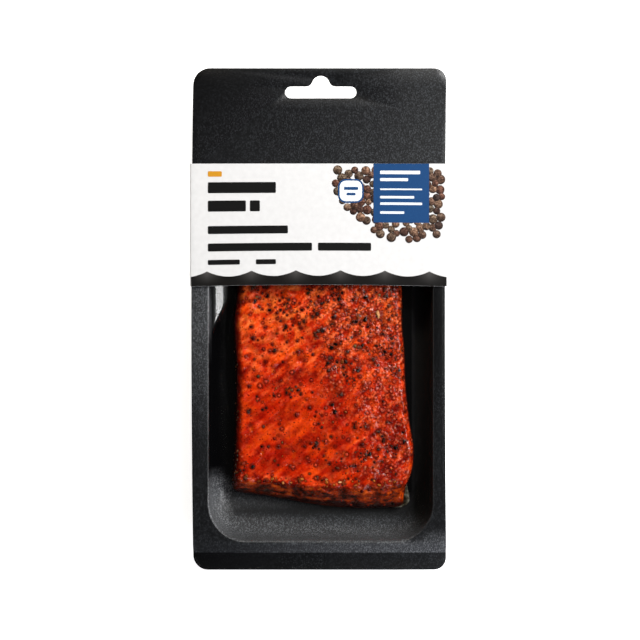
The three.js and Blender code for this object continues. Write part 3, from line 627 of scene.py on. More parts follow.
def edge_distance(x, y):
    """Distance from the recess's upper edge to a point, up to a corner's radius into the recess."""
    return RECESS_CORNER - recess_place(x, y)[2]


def into_recess(x, y):
    """Distance from the recess's upper edge to a point, counted along the wall's section."""
    away, spread = recess_place(x, y)[2:]
    return (RECESS_CORNER - away) / np.maximum(spread, 0.1)


def tray_height(x, y):
    """Height of the sheet's upper face, in the recess as well."""
    distance = into_recess(x, y)
    return np.where(distance > -LIP, np.interp(distance, *np.array(WALL).T), sheet_height(y))


def add_rectangle(left, right, bottom, top, z):
    """In edit mode, adds a selected rectangle to the mesh."""
    bpy.ops.mesh.select_all(action="DESELECT")
    bpy.ops.mesh.primitive_plane_add(size=1)
    size = ((right - left) * MM, (top - bottom) * MM, 1)
    bpy.ops.transform.resize(value=size, center_override=(0, 0, 0))
    bpy.ops.transform.translate(value=((left + right) / 2 * MM, (bottom + top) / 2 * MM, z * MM))


def round_corners(obj, corners, radius, segments):
    """In edit mode, rounds those corners of a flat outline."""
    def is_corner(point):
        return any((point.xy - Vector(corner)).length < NEAR for corner in corners)
    select(obj, "VERT", is_corner)
    bpy.ops.mesh.bevel(offset=radius * MM, segments=segments, affect="VERTICES")


def empty_mesh(name):
    """A new empty mesh object, in edit mode."""
    obj = placed(name, bpy.data.meshes.new(name))
    edit(obj)
    return obj


def slot_cutter():
    """Upright prism of the euro slot: a bar with round ends, and a bump flared into its upper edge."""
    half = SLOT_HEIGHT / 2
    end = SLOT_WIDTH / 2 - half
    bump_y, flare_y = half + BUMP_HEIGHT - BUMP_RADIUS, half + BUMP_FLARE
    flare_x = math.sqrt((BUMP_RADIUS + BUMP_FLARE) ** 2 - (flare_y - bump_y) ** 2)
    meet = math.atan2(flare_y - bump_y, flare_x)
    quarter = math.pi / 2
    arcs = [
        (end, 0, half, -quarter, quarter), (flare_x, flare_y, BUMP_FLARE, -quarter, meet - math.pi),
        (0, bump_y, BUMP_RADIUS, meet, math.pi - meet), (-flare_x, flare_y, BUMP_FLARE, -meet, -quarter),
        (-end, 0, half, quarter, 3 * quarter),
    ]
    steps = 12
    outline = []
    for x, y, radius, start, stop in arcs:
        angles = [start + (stop - start) * i / steps for i in range(steps + 1)]
        outline += [(x + radius * math.cos(a) + SLOT_X, y + radius * math.sin(a) + SLOT_Y) for a in angles]
    mesh = bpy.data.meshes.new("slot_cutter")
    below = 3
    low = (FLANGE_TOP - below) * MM
    mesh.from_pydata([(x * MM, y * MM, low) for x, y in outline], [], [range(len(outline))])
    cutter = placed("slot_cutter", mesh)
    edit(cutter)
    bpy.ops.mesh.select_all(action="SELECT")
    bpy.ops.mesh.remove_doubles(threshold=NEAR * MM)
    bpy.ops.mesh.extrude_region_move(TRANSFORM_OT_translate={"value": (0, 0, 2 * below * MM)})
    face_outwards()
    leave_edit()
    return cutter


def edge_bow(y):
    """Share of their bow that the long edges have along the pack: 0 at its ends, 1 at its middle."""
    share = np.clip((y - PACK_BOTTOM) / (PACK_TOP - PACK_BOTTOM), 0, 1)
    return 4 * share * (1 - share)


def bow_long_edges(points):
    """Bows the pack's long edges: the left one out, the right one in."""
    x, y, z = points.T
    bow = edge_bow(y)
    left = np.clip((RECESS_LEFT - LIP - x) / (RECESS_LEFT - LIP - PACK_LEFT), 0, 1)
    right = np.clip((x - RECESS_RIGHT - LIP) / (PACK_RIGHT - RECESS_RIGHT - LIP), 0, 1)
    return np.column_stack([x - LEFT_EDGE_BOW * bow * left + RIGHT_EDGE_BOW * bow * right, y, z])


def sheet_haze_and_painted_sheen(x, y):
    """How hazy the black sheet is, and how much painted sheen lightens it: most by the header's right, the
    upper left flange and the lower wall.
    """
    across = np.clip((x - PACK_LEFT) / (PACK_RIGHT - PACK_LEFT), 0, 1)
    along = np.clip((y - LABEL_TOP) / (PACK_TOP - LABEL_TOP), 0, 1)
    header = 0.44 * across + 0.2 * (1 - along)
    left_flange = 0.25 + 0.9 * np.clip((y + 60) / 74, 0, 1)
    lower = np.where(y > STEP_FOOT, 0.4 + 0.6 * across, 0.4 * across)
    right_flange = 0.05 + 0.21 * (1 - smoothstep(y, -60, 0))
    flange = np.where(y < RECESS_BOTTOM, lower, np.where(x < 0, left_flange, right_flange))
    inside = 0.9 * (1 - smoothstep(y, RECESS_BOTTOM + 4, RECESS_BOTTOM + 14))
    inside = inside * (1 - 0.5 * smoothstep(x, 25, 48))
    return np.where(y > RECESS_TOP, header, np.where(edge_distance(x, y) > 0, inside, flange))


def sheet_painted_highlight(x, y):
    """Painted highlights on the sheet: lower left corner, lower wall, upper left flange and its lip, and the
    step strip.
    """
    inside = edge_distance(x, y)
    above = y - RECESS_BOTTOM - 20
    corner = np.hypot(x - RECESS_LEFT - 1, np.where(above < 0, 0.55, 1.0) * above)
    low_wall = 1 - smoothstep(y, RECESS_BOTTOM + 4, RECESS_BOTTOM + 12)
    share = (0.75 * (1 - smoothstep(corner, 3, 12)) + 0.24 * low_wall) * (1 - 0.6 * smoothstep(x, 36, 48))
    left = (x < 0) & (y < RECESS_TOP)
    flange = 0.16 * smoothstep(y, -50, 0) * left
    strip = 0.3 * smoothstep(x, -20, 20) * (y > STEP_FOOT)
    lip = 0.9 * (1 - smoothstep(np.abs(inside), 0.2, 0.8)) * smoothstep(y, -14, 0) * left
    return np.maximum(lip, np.where(inside > -0.5, share, np.where(y < RECESS_BOTTOM, strip, flange)))


def matt_walls(x, y):
    """Where the recess is too matt to mirror the fish: on the right and along the bottom."""
    floor_end = RECESS_RIGHT - WALL_FOOT_RIGHT
    right = smoothstep(x, floor_end, floor_end + 1.5)
    bottom = 1 - smoothstep(y, RECESS_BOTTOM + 9, RECESS_BOTTOM + 22)
    return np.where(edge_distance(x, y) > -0.5, np.maximum(right, bottom), 0)


def make_tray():
    """Black sheet: its outline, the recess sunk into it, the step by its lower edge, and the slot."""
    tray = empty_mesh("tray_sheet")
    add_rectangle(PACK_LEFT, PACK_RIGHT, PACK_BOTTOM, PACK_TOP, FLANGE_TOP)
    corners = {
        "bottom left": (PACK_LEFT, PACK_BOTTOM), "bottom right": (PACK_RIGHT, PACK_BOTTOM),
        "top right": (PACK_RIGHT, PACK_TOP), "top left": (PACK_LEFT, PACK_TOP),
    }
    for name, corner in corners.items():
        round_corners(tray, [corner], PACK_CORNERS[name], 10)
    left, right = RECESS_LEFT - LIP, RECESS_RIGHT + LIP
    bottom, top = RECESS_BOTTOM - LIP, RECESS_TOP + LIP
    add_rectangle(left, right, bottom, top, FLANGE_TOP)
    recess_corners = [(left, bottom), (right, bottom), (right, top), (left, top)]
    round_corners(tray, recess_corners, RECESS_CORNER + LIP, 24)
    bpy.ops.mesh.select_all(action="SELECT")
    bpy.ops.mesh.delete(type="ONLY_FACE")
    bpy.ops.mesh.select_mode(type="EDGE")
    bpy.ops.mesh.select_all(action="SELECT")
    bpy.ops.mesh.fill(use_beauty=True)
    face_outwards()
    if sum(face.normal.z for face in bmesh.from_edit_mesh(tray.data).faces) < 0:
        bpy.ops.mesh.flip_normals()
    select(tray, "EDGE", lambda p: abs(edge_distance(p.x, p.y) + LIP) < 0.2)
    bpy.ops.mesh.edge_face_add()
    select(tray, "FACE", lambda p: edge_distance(p.x, p.y) > RECESS_CORNER - 0.1)
    for (x0, z0), (x1, z1) in zip(WALL, WALL[1:]):
        bpy.ops.mesh.inset(thickness=(x1 - x0) * MM, depth=(z1 - z0) * MM)
    cuts = [PACK_BOTTOM + RIM_WIDTH] + [y for y, z in SHEET_PROFILE[3:7]]
    cuts += [STEP_FOOT + (STEP_TOP - STEP_FOOT) * share for share in (0.3, 0.5, 0.7)]
    margin, strips = 8, 20
    length = PACK_TOP - PACK_BOTTOM - 2 * margin
    cuts += [PACK_BOTTOM + margin + length * i / strips for i in range(strips + 1)]
    cuts += [RECESS_BOTTOM + above for above in FINE_CUTS]
    cut_through(1, cuts)
    cut_through(0, [RECESS_RIGHT - WALL_FOOT_RIGHT / SPREAD_RIGHT])
    leave_edit()
    x, y, z = points_of(tray).T
    distance = edge_distance(x, y)
    centre_x, centre_y, away, spread = recess_place(x, y)
    wide = (RECESS_CORNER - distance * spread) / away
    on_wall = (distance > -LIP - NEAR) & (distance < RECESS_CORNER - 0.1)
    x = np.where(on_wall, centre_x + (x - centre_x) * wide, x)
    y = np.where(on_wall, centre_y + (y - centre_y) * wide, y)
    z = np.where(distance < -LIP + NEAR, sheet_height(y), z)
    set_points(tray, bow_long_edges(np.column_stack([x, y, z])))
    apply_modifier(tray, "SOLIDIFY", thickness=SHEET * MM, offset=-1, use_even_offset=True)
    cutter = slot_cutter()
    apply_modifier(tray, "BOOLEAN", object=cutter, operation="DIFFERENCE", solver="EXACT")
    bpy.data.objects.remove(cutter)
    round_edges(tray, SHEET_EDGE)
    points = points_of(tray)
    points[:, 1] = np.maximum(points[:, 1], PACK_BOTTOM)
    set_points(tray, points)
    # The sheet's haze with its painted sheen, its painted highlights, and its matt walls
    for name, field in (("haze_and_painted_sheen", sheet_haze_and_painted_sheen), ("painted_highlight", sheet_painted_highlight), ("matt", matt_walls)):
        set_mask(tray, name, field(points[:, 0], points[:, 1]))
    smooth_shaded(tray, 40)
    finished(tray, "tray_sheet", black_sheet_material(), "tray")


# Fish

def footprint(across, along):
    """Point of the fish's outline and inside it: 0 to 1 across and along."""
    bottom = through(BOTTOM_EDGE, FISH_LEFT + (FISH_RIGHT - FISH_LEFT) * across)
    y = bottom + (FISH_TOP - bottom) * along
    near = np.clip(FISH_CORNER - np.minimum(y - bottom, FISH_TOP - y), 0, FISH_CORNER)
    pull = FISH_CORNER - np.sqrt(FISH_CORNER ** 2 - near ** 2)
    left = through(LEFT_EDGE, y) + pull + 0.4 * rolling(y, 0, 2.2, 5) + 0.3 * rolling(y, 0, 0.9, 25)
    right = through(RIGHT_EDGE, y) - pull + 0.35 * rolling(y, 0, 2.6, 6) + 0.25 * rolling(y, 0, 1.0, 26)
    return left + (right - left) * across, y


def from_edges(x, y):
    """Distances from the fish's left, right and bottom edges, less than 0 outside them."""
    return x - through(LEFT_EDGE, y), through(RIGHT_EDGE, y) - x, y - through(BOTTOM_EDGE, x)


def is_over_fish(x, y):
    """Whether a place is inside the fish's outline."""
    return (np.minimum.reduce(from_edges(x, y)) > 0) & (y < FISH_TOP)


def cut_face_width(across):
    """How far the sloping cut face reaches in from the fish's bottom edge."""
    return CUT_FACE_LEFT + (CUT_FACE_RIGHT - CUT_FACE_LEFT) * across


def over_flakes(x, y):
    """Distance square to the fish's flakes."""
    return y * math.cos(FLAKE_ANGLE) - x * math.sin(FLAKE_ANGLE)


def shoulder(distance, reach):
    """Quarter round from 0 at an edge to 1 a reach inside it."""
    rest = 1 - np.clip(distance / reach, 0, 1)
    return np.sqrt(np.maximum(1 - rest ** 2, 0))


def fish_masks(x, y):
    """Shares from 0 to 1 that say what a place on the fish is like, and where shade and shadow are painted on
    it.
    """
    from_left, from_right, from_bottom = from_edges(x, y)
    across = np.clip(from_left / (from_left + from_right), 0, 1)
    drop = np.clip(from_bottom / cut_face_width(across), 0, 1)
    ragged = 0.7 * rolling(x, y, 1.9, 31)
    sides = shoulder(from_left + 0.5 * ragged * smoothstep(from_left, 0, 1.5), LEFT_SHOULDER)
    sides = sides * shoulder(from_right + ragged * smoothstep(from_right, 0, 1.5), RIGHT_SHOULDER)
    body = sides * (1 - (1 - drop) ** CUT_FACE_CURVE) * shoulder(FISH_TOP - y, TOP_SHOULDER)
    wander = 1.6 * np.sin(x / 11 + y / 17) + 0.5 * rolling(x, y, 7, 3)
    step = (over_flakes(x, y) + wander) / FLAKE_PITCH
    calm = (1 - smoothstep(across, 0.45, 0.85)) * (1 - smoothstep(y, -40, -16))
    calm = calm * smoothstep(from_bottom, 8, 14)
    flaky = (1 - 0.8 * smoothstep(across, 0.4, 0.75)) * (1 - 0.8 * smoothstep(y, -34, -12))
    flaky = flaky * smoothstep(rolling(x, y, 9, 24), -1.1, 0.1)
    # Grooves between the flakes: sunk into the flesh, and darkened there as painted shade
    groove = (1 - np.abs(np.sin(math.pi * step))) ** 4 * flaky
    within = (2 * step) % 1
    line = smoothstep(within, 0.66, 0.93) * (1 - smoothstep(within, 0.93, 1.0))
    flake = flaky * (0.4 * within * (1 - smoothstep(within, 0.93, 1.0)) + 0.6 * line)
    low_corner = (1 - smoothstep(from_left, 3, 9)) * (1 - smoothstep(y, -62, -46))
    crust = across + 0.35 * smoothstep(y, -60, 20) + 0.2 * rolling(x, y, 11, 8) + 0.7 * low_corner
    spiced = smoothstep(crust, 0.35, 1.1)
    # Painted shade on the fish's sides: a dark band along the left edge and a faint one along the right
    left_painted_shade = 1 - smoothstep(from_left + 0.6 * rolling(x, y, 2.2, 33), 1.2, 4.8)
    right_painted_shade = 0.3 * (1 - smoothstep(from_right, 0, 0.8))
    # Painted shadow along the fish's foot, below the cut face and at its sides
    over_foot = from_bottom + 0.8 * rolling(x, y, 2.2, 27) - 0.3 - 1.2 * across
    over_foot = np.minimum(over_foot, np.minimum(1.3 * from_left, 2.4 * from_right))
    return {
        "across": across, "body": body, "groove": groove, "flake": flake, "spiced": spiced, "calm": calm,
        "warm": smoothstep(y - 8 * across, -36, 4) * smoothstep(rolling(x, y, 2.6, 16), -0.2, 0.5),
        "cut": 1 - smoothstep(drop + 0.16 * rolling(x, y, 2.4, 9), 0.7, 1.0),
        "side": np.maximum(left_painted_shade, right_painted_shade),
        "foot": 1 - smoothstep(over_foot, 0.5, 2.4),
        "cut_line": np.exp(-((drop - 0.86) / 0.09) ** 2) * smoothstep(rolling(x, y, 3, 19), -0.7, 0.3),
    }


def wrinkles(x, y):
    """Wet folds of the flesh, drawn out along its flakes, in millimetres."""
    along = x * math.cos(FLAKE_ANGLE) + y * math.sin(FLAKE_ANGLE)
    return 0.32 * rolling(along / 1.5, over_flakes(x, y), 2.5, 2) + 0.09 * rolling(x, y, 1.2, 4)


def droplets(x, y, masks):
    """Swollen beads of the crust: how far a place is from a bead's middle, in sizes, and how strong it is."""
    away, share = granules(x, y, 2.3, 2)
    least = 0.7 - 0.16 * masks["spiced"]
    strength = smoothstep(share, least, least + 0.14) * (0.2 + 0.8 * masks["spiced"])
    return away, strength * (1 - 0.9 * masks["calm"])


def crust_grit(x, y):
    """Fine grit baked into the crust: how high a place is on its grain, and the grain's random share."""
    away, share = granules(x, y, 1.2, 6)
    return np.maximum(0, 1 - (away / 0.6) ** 2), share


def fish_height(x, y):
    """Height of the flesh: the portion's body, its flakes, its lumps and the granular spiced crust."""
    masks = fish_masks(x, y)
    grit, kind = crust_grit(x, y)
    thickness = BELLY + (BACK - BELLY) * smoothstep(masks["across"], 0, THICK_FROM)
    lumps = 0.4 * rolling(x, y, 6, 1) + wrinkles(x, y) * (1 - 0.55 * masks["calm"])
    away, strength = droplets(x, y, masks)
    beads = 0.2 * strength * np.maximum(0, 1 - (away / 0.42) ** 2)
    layers = 0.5 * masks["cut"] * rolling(x, y, 3.8, 7) * smoothstep(masks["body"], 0.05, 0.4)
    layers = layers + 0.45 * masks["cut"] * rolling(x * 0.7, y, 1.7, 12)
    detail = lumps + beads + layers + 0.24 * grit * kind * masks["spiced"] - 0.3 * masks["groove"]
    return FISH_BASE + RIM + (thickness - RIM) * masks["body"] + detail * smoothstep(masks["body"], 0, 0.35)


def flesh_masks(x, y):
    """The masks that the flesh's material reads, but for the darkening round the grains."""
    masks = fish_masks(x, y)
    away, strength = droplets(x, y, masks)
    rim = strength * np.exp(-((away - 0.38) / 0.14) ** 2)
    grit, kind = crust_grit(x, y)
    grit = smoothstep(grit, 0.3, 0.8) * masks["spiced"]
    # Darker towards the lower end, and painted shade in the hollows between the folds
    shaded = 0.22 + 0.38 * (1 - smoothstep(y, -34, 0))
    shaded = shaded + 0.09 * masks["across"] * (1 - smoothstep(y, -60, -44))
    folds = wrinkles(x, y) * (1 - 0.6 * masks["calm"]) * (1 - 0.35 * masks["spiced"])
    return {
        # Pale tops of the grit are painted glints
        "grit_painted_glint": 0.4 * grit * (kind > 0.86) * smoothstep(rolling(x, y, 4, 32), -0.6, 0.4),
        "dark_grit": 0.65 * grit * (kind < 0.36),
        "groove": 0.45 * masks["groove"], "flake": 0.5 * masks["flake"], "warm": 0.7 * masks["warm"],
        "rough": 0.5 * (1 - 0.55 * masks["calm"]), "foot": 0.9 * masks["foot"],
        "painted_shade": np.clip(shaded - 1.7 * folds, 0, 1),
        # Dark rings round the beads are painted shade; the cut face's upper edge gets a dark line too
        "rim_shade_and_cut_line": 0.8 * np.maximum(rim, masks["cut_line"]),
        # Pale middles of the beads are painted highlights
        "bead_painted_highlight": 0.3 * strength * (1 - smoothstep(away, 0.08, 0.3)),
        "spiced": smoothstep(masks["spiced"] + 0.35 * rolling(x, y, 3, 14), 0.3, 1.1),
        "cut": masks["cut"], "side": masks["side"],
    }


def make_fillet():
    """The flesh: a net laid over its height, closed by a wall down to its foot and a flat underside."""
    fillet, u, v = add_grid(230, 330)
    x, y = footprint(u, v)
    set_points(fillet, np.column_stack([x, y, fish_height(x, y)]))
    edit(fillet)
    bpy.ops.mesh.select_mode(type="EDGE")
    bpy.ops.mesh.select_all(action="SELECT")
    bpy.ops.mesh.region_to_loop()
    bpy.ops.mesh.extrude_edges_move()
    foot = [v.index for v in bmesh.from_edit_mesh(fillet.data).verts if v.select]
    bpy.ops.mesh.edge_face_add()
    leave_edit()
    points = points_of(fillet)
    points[foot, 2] = FISH_BASE
    set_points(fillet, points)
    edit(fillet)
    face_outwards()
    leave_edit()
    for name, values in flesh_masks(points[:, 0], points[:, 1]).items():
        set_mask(fillet, name, values)
    smooth_shaded(fillet, 180)
    finished(fillet, "trout_flesh", smoked_flesh_material(), "fillet")
    return fillet


def make_skin():
    """Skin under the flesh: it only shows where it stands proud beside the cut on the thick side."""
    skin, u, v = add_grid(60, 90)
    corner = smoothstep(u, 0.85, 1) * (1 - smoothstep(v, 0.03, 0.12))
    x, y = footprint(u, v)
    x = x + (2 * u - 1) * (2.7 * corner - 0.2)
    y = y + (2 * v - 1) * (0.4 * corner - 0.1)
    height = SKIN_BASE + SKIN + 0.15 * rolling(x, y, 4, 2) * corner
    set_points(skin, np.column_stack([x, y, height]))
    apply_modifier(skin, "SOLIDIFY", thickness=SKIN_THICK * MM, offset=-1)
    round_edges(skin, 0.15)
    smooth_shaded(skin, 50)
    finished(skin, "trout_skin", silver_skin_material(), "fish_skin")


# Spice on the fish

# Place, radius and top of each grain that is laid: they darken the flesh round them and lift the film
grain_bumps = []
# Radius from which a grain darkens the flesh, its most tilt in radians, and a husk's thickness as a share of
# its width
DARKENING_RADIUS, GRAIN_TILT, HUSK_THICK = 0.55, 0.4, 0.05
PEPPER_HEAPS = [
    (-26, 12), (-17, 6), (-3, 4), (8, 11), (17, -2), (33, 12), (30, -14), (32, -24), (5, -20), (14, -24),
    (32, -57), (27, -64), (20, -60), (-12, -32), (-34, -68),
]
HEAP_REACH = 5.0
GARLIC_PLACES = [(26.4, 1.9), (-38.6, -14.5), (3.2, -72.2), (9.4, -73.2)]


def broken_grain(cuts, seed, rounds=2):
    """Points and triangles of a round grain with flat broken faces, about one across."""
    draw = random.Random(seed)
    bpy.ops.object.select_all(action="DESELECT")
    bpy.ops.mesh.primitive_ico_sphere_add(subdivisions=rounds, radius=0.5)
    grain = bpy.context.object
    edit(grain)
    for _ in range(cuts):
        normal = Vector([draw.uniform(-1, 1) for _ in range(3)]).normalized()
        bpy.ops.mesh.select_all(action="SELECT")
        bpy.ops.mesh.bisect(plane_co=normal * draw.uniform(0.16, 0.34), plane_no=normal, use_fill=True,
                            clear_outer=True)
    leave_edit()
    return taken(grain)


def husk(depth, seed):
    """Points and triangles of a curved shard of shell, about one across."""
    draw = random.Random(seed)
    bpy.ops.object.select_all(action="DESELECT")
    bpy.ops.mesh.primitive_uv_sphere_add(segments=14, ring_count=10, radius=0.5)
    shard = bpy.context.object
    edit(shard)
    planes = [Vector((0, 0, -1))] + [Vector((math.cos(a), math.sin(a), 0.2)) for a in (0.4, 2.2, 4.3)]
    offsets = [-(0.5 - depth)] + [draw.uniform(0.26, 0.42) for _ in range(3)]
    for normal, offset in zip(planes, offsets):
        bpy.ops.mesh.select_all(action="SELECT")
        bpy.ops.mesh.bisect(plane_co=normal * offset, plane_no=normal, clear_outer=True)
    leave_edit()
    points = points_of(shard) * MM
    shard.data.vertices.foreach_set("co", (points - (0, 0, 0.5 - depth)).ravel())
    apply_modifier(shard, "SOLIDIFY", thickness=HUSK_THICK, offset=-1)
    return taken(shard)


def taken(obj):
    """A model's points and triangles, after which it is removed."""
    apply_modifier(obj, "TRIANGULATE")
    points = points_of(obj) * MM
    faces = np.array([list(p.vertices) for p in obj.data.polygons])
    bpy.data.objects.remove(obj)
    return points, faces


def scatter_places(count, spacing, share, seed, margin=1.2, tries=60):
    """Places on the fish, apart from each other, kept with the given share at each place."""
    draw = random.Random(seed)
    places = []
    for _ in range(count * tries):
        if len(places) == count:
            break
        x, y = draw.uniform(FISH_LEFT, FISH_RIGHT + 1), draw.uniform(-86, FISH_TOP - TOP_SHOULDER)
        if min(from_edges(x, y)) < margin or draw.random() > share(x, y):
            continue
        if all(math.hypot(x - px, y - py) > spacing for px, py in places):
            places.append((x, y))
    return places


def scatter(name, shapes, places, size, flatness, sink, material, seed):
    """One joined mesh of grains at those places on the fish, each turned, sized and leant on the surface."""
    draw = random.Random(seed)
    points, faces, cores, tints, count = [], [], [], [], 0
    for x, y in places:
        shape_points, shape_faces = shapes[draw.randrange(len(shapes))]
        across = size[0] + (size[1] - size[0]) * draw.random() ** 1.6
        scale = Vector((across, across * draw.uniform(0.5, 1.0), across * draw.uniform(*flatness)))
        ahead = float(fish_height(x + 0.5, y) - fish_height(x - 0.5, y))
        aside = float(fish_height(x, y + 0.5) - fish_height(x, y - 0.5))
        lean = Vector((-ahead, -aside, 1)).normalized().to_track_quat("Z", "Y").to_matrix()
        turn = Matrix.Rotation(draw.uniform(0, 2 * math.pi), 3, "Z")
        roll = Matrix.Rotation(draw.uniform(-GRAIN_TILT, GRAIN_TILT), 3, "X")
        matrix = np.array(lean @ roll @ turn @ Matrix.Diagonal(scale))
        middle = (x, y, float(fish_height(x, y)) + scale.z * (0.5 - sink))
        points.append(shape_points @ matrix.T + middle)
        faces.append(shape_faces + count)
        cores.append(np.clip(1 - 2 * np.hypot(shape_points[:, 0], shape_points[:, 1]), 0, 1))
        tints.append(np.full(len(shape_points), draw.random()))
        count += len(shape_points)
        grain_bumps.append((x, y, across / 2, middle[2] + 0.45 * scale.z))
    mesh = bpy.data.meshes.new(name)
    mesh.from_pydata(np.vstack(points) * MM, [], np.vstack(faces).tolist())
    obj = placed(name, mesh)
    set_mask(obj, "core", np.concatenate(cores))
    set_mask(obj, "tint", np.concatenate(tints))
    smooth_shaded(obj, 32)
    finished(obj, name, material)


def across_fish(x):
    """0 at the fish's left to 1 at its right."""
    return (x - FISH_LEFT) / (FISH_RIGHT - FISH_LEFT)


def pepper_share(x, y):
    """How much of the black pepper stays at a place: least low on the left, most in the heaps it fell in."""
    across = across_fish(x)
    nearest = min(math.hypot(x - hx, y - hy) for hx, hy in PEPPER_HEAPS)
    heap = 0.9 * float(1 - smoothstep(nearest, 0.3 * HEAP_REACH, HEAP_REACH))
    clumps = (0.2 + 0.3 * across) * float(rolling(x, y, 3.4, 21))
    upper = 0.1 * across + (0.12 + 0.22 * across) * float(smoothstep(y, -35, 10))
    return min(1, max(0.015, upper + heap + clumps - 0.06))


def top_right_share(x, y):
    """More to the right and to the top, in clumps."""
    share = 0.15 + 0.6 * across_fish(x) + 0.35 * float(smoothstep(y, -50, 20))
    return min(1, max(0.05, share + 0.3 * float(rolling(x, y, 5, 22))))


def cut_edge_share(x, y):
    """Most along the upper edge of the cut face, and a few elsewhere."""
    from_bottom = y - float(through(BOTTOM_EDGE, x))
    return 0.9 if 0.9 < from_bottom / cut_face_width(across_fish(x)) < 1.25 else 0.004


def left_edge_share(x, y):
    """Only in a few clumps along the fish's left edge."""
    on_edge = x - float(through(LEFT_EDGE, y)) < 2.0 and y < -8
    return 1.0 if on_edge and rolling(0, y, 4.2, 40) > 0.1 else 0.0


def darken_round_grains(fillet):
    """Marks the flesh round the larger grains, to be darkened there."""
    x, y = (points_of(fillet) - np.array(SHIFT) / MM).T[:2]
    grain_darkening = np.zeros(len(x))
    for grain_x, grain_y, radius, _ in grain_bumps:
        if radius > DARKENING_RADIUS:
            near = np.flatnonzero((np.abs(x - grain_x) < 2 * radius) & (np.abs(y - grain_y) < 2 * radius))
            away = np.hypot(x[near] - grain_x, y[near] - grain_y) / radius
            grain_darkening[near] = np.maximum(grain_darkening[near], 0.8 * (1 - smoothstep(away, 0.9, 1.7)))
    set_mask(fillet, "grain_darkening", grain_darkening)


def make_spice():
    """Every kind of spice as one joined piece: its grains' size, flatness, sinking and seeded places."""
    grains = [broken_grain(4, 1), broken_grain(5, 2), broken_grain(6, 3), broken_grain(7, 9)]
    crumbs = [broken_grain(2, 6, 1), broken_grain(3, 7, 1), broken_grain(4, 8, 1)]
    husks = [husk(0.22, 4), husk(0.3, 5)]
    pepper = spice_material("cracked_black_pepper", "#0a0302", "#240e08", "#5c2c1c", 0.9)
    shell = spice_material("pepper_husk", "#1e0604", "#5c140a", "#a03418", 1.1)
    chilli = spice_material("red_pepper_flake", "#3a0402", "#801006", "#b83a20", 1.2, 0.3)
    gold = spice_material("golden_mustard_grit", "#64280a", "#8a4412", "#b06828", 0.9)
    olive = spice_material("dried_herb", "#241808", "#3c2c14", "#5e4a28", 0.9)
    smoky = spice_material("smoke_crumb", "#140a04", "#32180c", "#5c341c", 0.9)
    tan = spice_material("garlic_flake", "#7c4420", "#b0703c", "#cc9460", 1.4, 0.4)
    places = scatter_places(200, 1.1, pepper_share, 31, tries=8)
    scatter("black_pepper_coarse", grains, places, (1.0, 2.8), (0.3, 0.46), 0.42, pepper, 51)
    places = scatter_places(850, 0.55, pepper_share, 32, tries=7)
    scatter("black_pepper_fine", crumbs, places, (0.35, 1.2), (0.4, 0.6), 0.42, pepper, 52)
    places = scatter_places(150, 1.5, pepper_share, 33, tries=9)
    scatter("pepper_husks", husks, places, (1.1, 2.4), (0.5, 0.8), 0.5, shell, 53)
    places = scatter_places(200, 1.6, top_right_share, 34)
    scatter("red_pepper_flakes", husks, places, (1.2, 2.4), (0.45, 0.8), 0.55, chilli, 54)
    places = scatter_places(46, 1.2, cut_edge_share, 35)
    scatter("golden_grit", grains, places, (0.9, 2.6), (0.35, 0.55), 0.35, gold, 55)
    places = scatter_places(26, 2.0, top_right_share, 36)
    scatter("herb_bits", husks, places, (1.0, 2.2), (0.3, 0.6), 0.4, olive, 56)
    scatter("garlic_flakes", grains, GARLIC_PLACES, (1.6, 4.6), (0.2, 0.35), 0.3, tan, 759)
    places = scatter_places(44, 1.0, left_edge_share, 37, 0.2, tries=200)
    scatter("edge_grit", grains, places, (1.0, 2.4), (0.5, 0.8), 0.2, smoky, 58)


# Film

def net_lines(stops):
    """Positions of a net's lines from stops (start, end, count), each with even steps."""
    lines = [np.linspace(start, end, count, endpoint=False) for start, end, count in stops]
    return np.append(np.concatenate(lines), stops[-1][1])


def drape(rest, x, y):
    """Lays a net over what is under it: no steeper than a slope, and softly bent."""
    across = np.abs(np.diff(x, axis=1)) * STEEPEST_DRAPE
    along = np.abs(np.diff(y, axis=0)) * STEEPEST_DRAPE
    height = rest.copy()
    for _ in range(DRAPE_ROUNDS):
        height[:, 1:] = np.maximum(height[:, 1:], height[:, :-1] - across)
        height[:, :-1] = np.maximum(height[:, :-1], height[:, 1:] - across)
        height[1:, :] = np.maximum(height[1:, :], height[:-1, :] - along)
        height[:-1, :] = np.maximum(height[:-1, :], height[1:, :] - along)
    for _ in range(SOFTENING_ROUNDS):
        padded = np.pad(height, 1, mode="edge")
        around = (padded[:-2, 1:-1] + padded[2:, 1:-1] + padded[1:-1, :-2] + padded[1:-1, 2:]) / 4
        height = np.maximum(rest, (height + around) / 2)
    return height


def past_tent(x, y):
    """How far a place is below the slanting line where the film, held up by the label's edge, falls away."""
    return np.interp(x, (RECESS_LEFT, FISH_LEFT), (TENT_END_LEFT, TENT_END_RIGHT)) - y


def film_tent(x, y):
    """The film's height left of the fish, held up by the label's edge until it falls into the recess."""
    away = np.clip((x - RECESS_LEFT) / TENT_REACH, 0, 1)
    height = FLANGE_TOP - TENT_DEPTH * away ** TENT_CURVE - FLANGE_TOP * smoothstep(past_tent(x, y), -6, 12)
    return np.where((x > RECESS_LEFT) & (x < FISH_LEFT + 1), height, 0)


def edge_limits(y):
    """The film's left and right limits along the pack, with its round lower corners."""
    bow = edge_bow(y)
    limits = []
    for corner in (PACK_CORNERS["bottom left"], PACK_CORNERS["bottom right"]):
        radius = corner - FILM_MARGIN
        near = np.clip(radius - (y - PACK_BOTTOM - FILM_MARGIN), 0, radius)
        limits.append(radius - np.sqrt(np.maximum(radius ** 2 - near ** 2, 0)))
    left = PACK_LEFT + FILM_MARGIN + limits[0] - LEFT_EDGE_BOW * bow
    return left, PACK_RIGHT - FILM_MARGIN - limits[1] + RIGHT_EDGE_BOW * bow


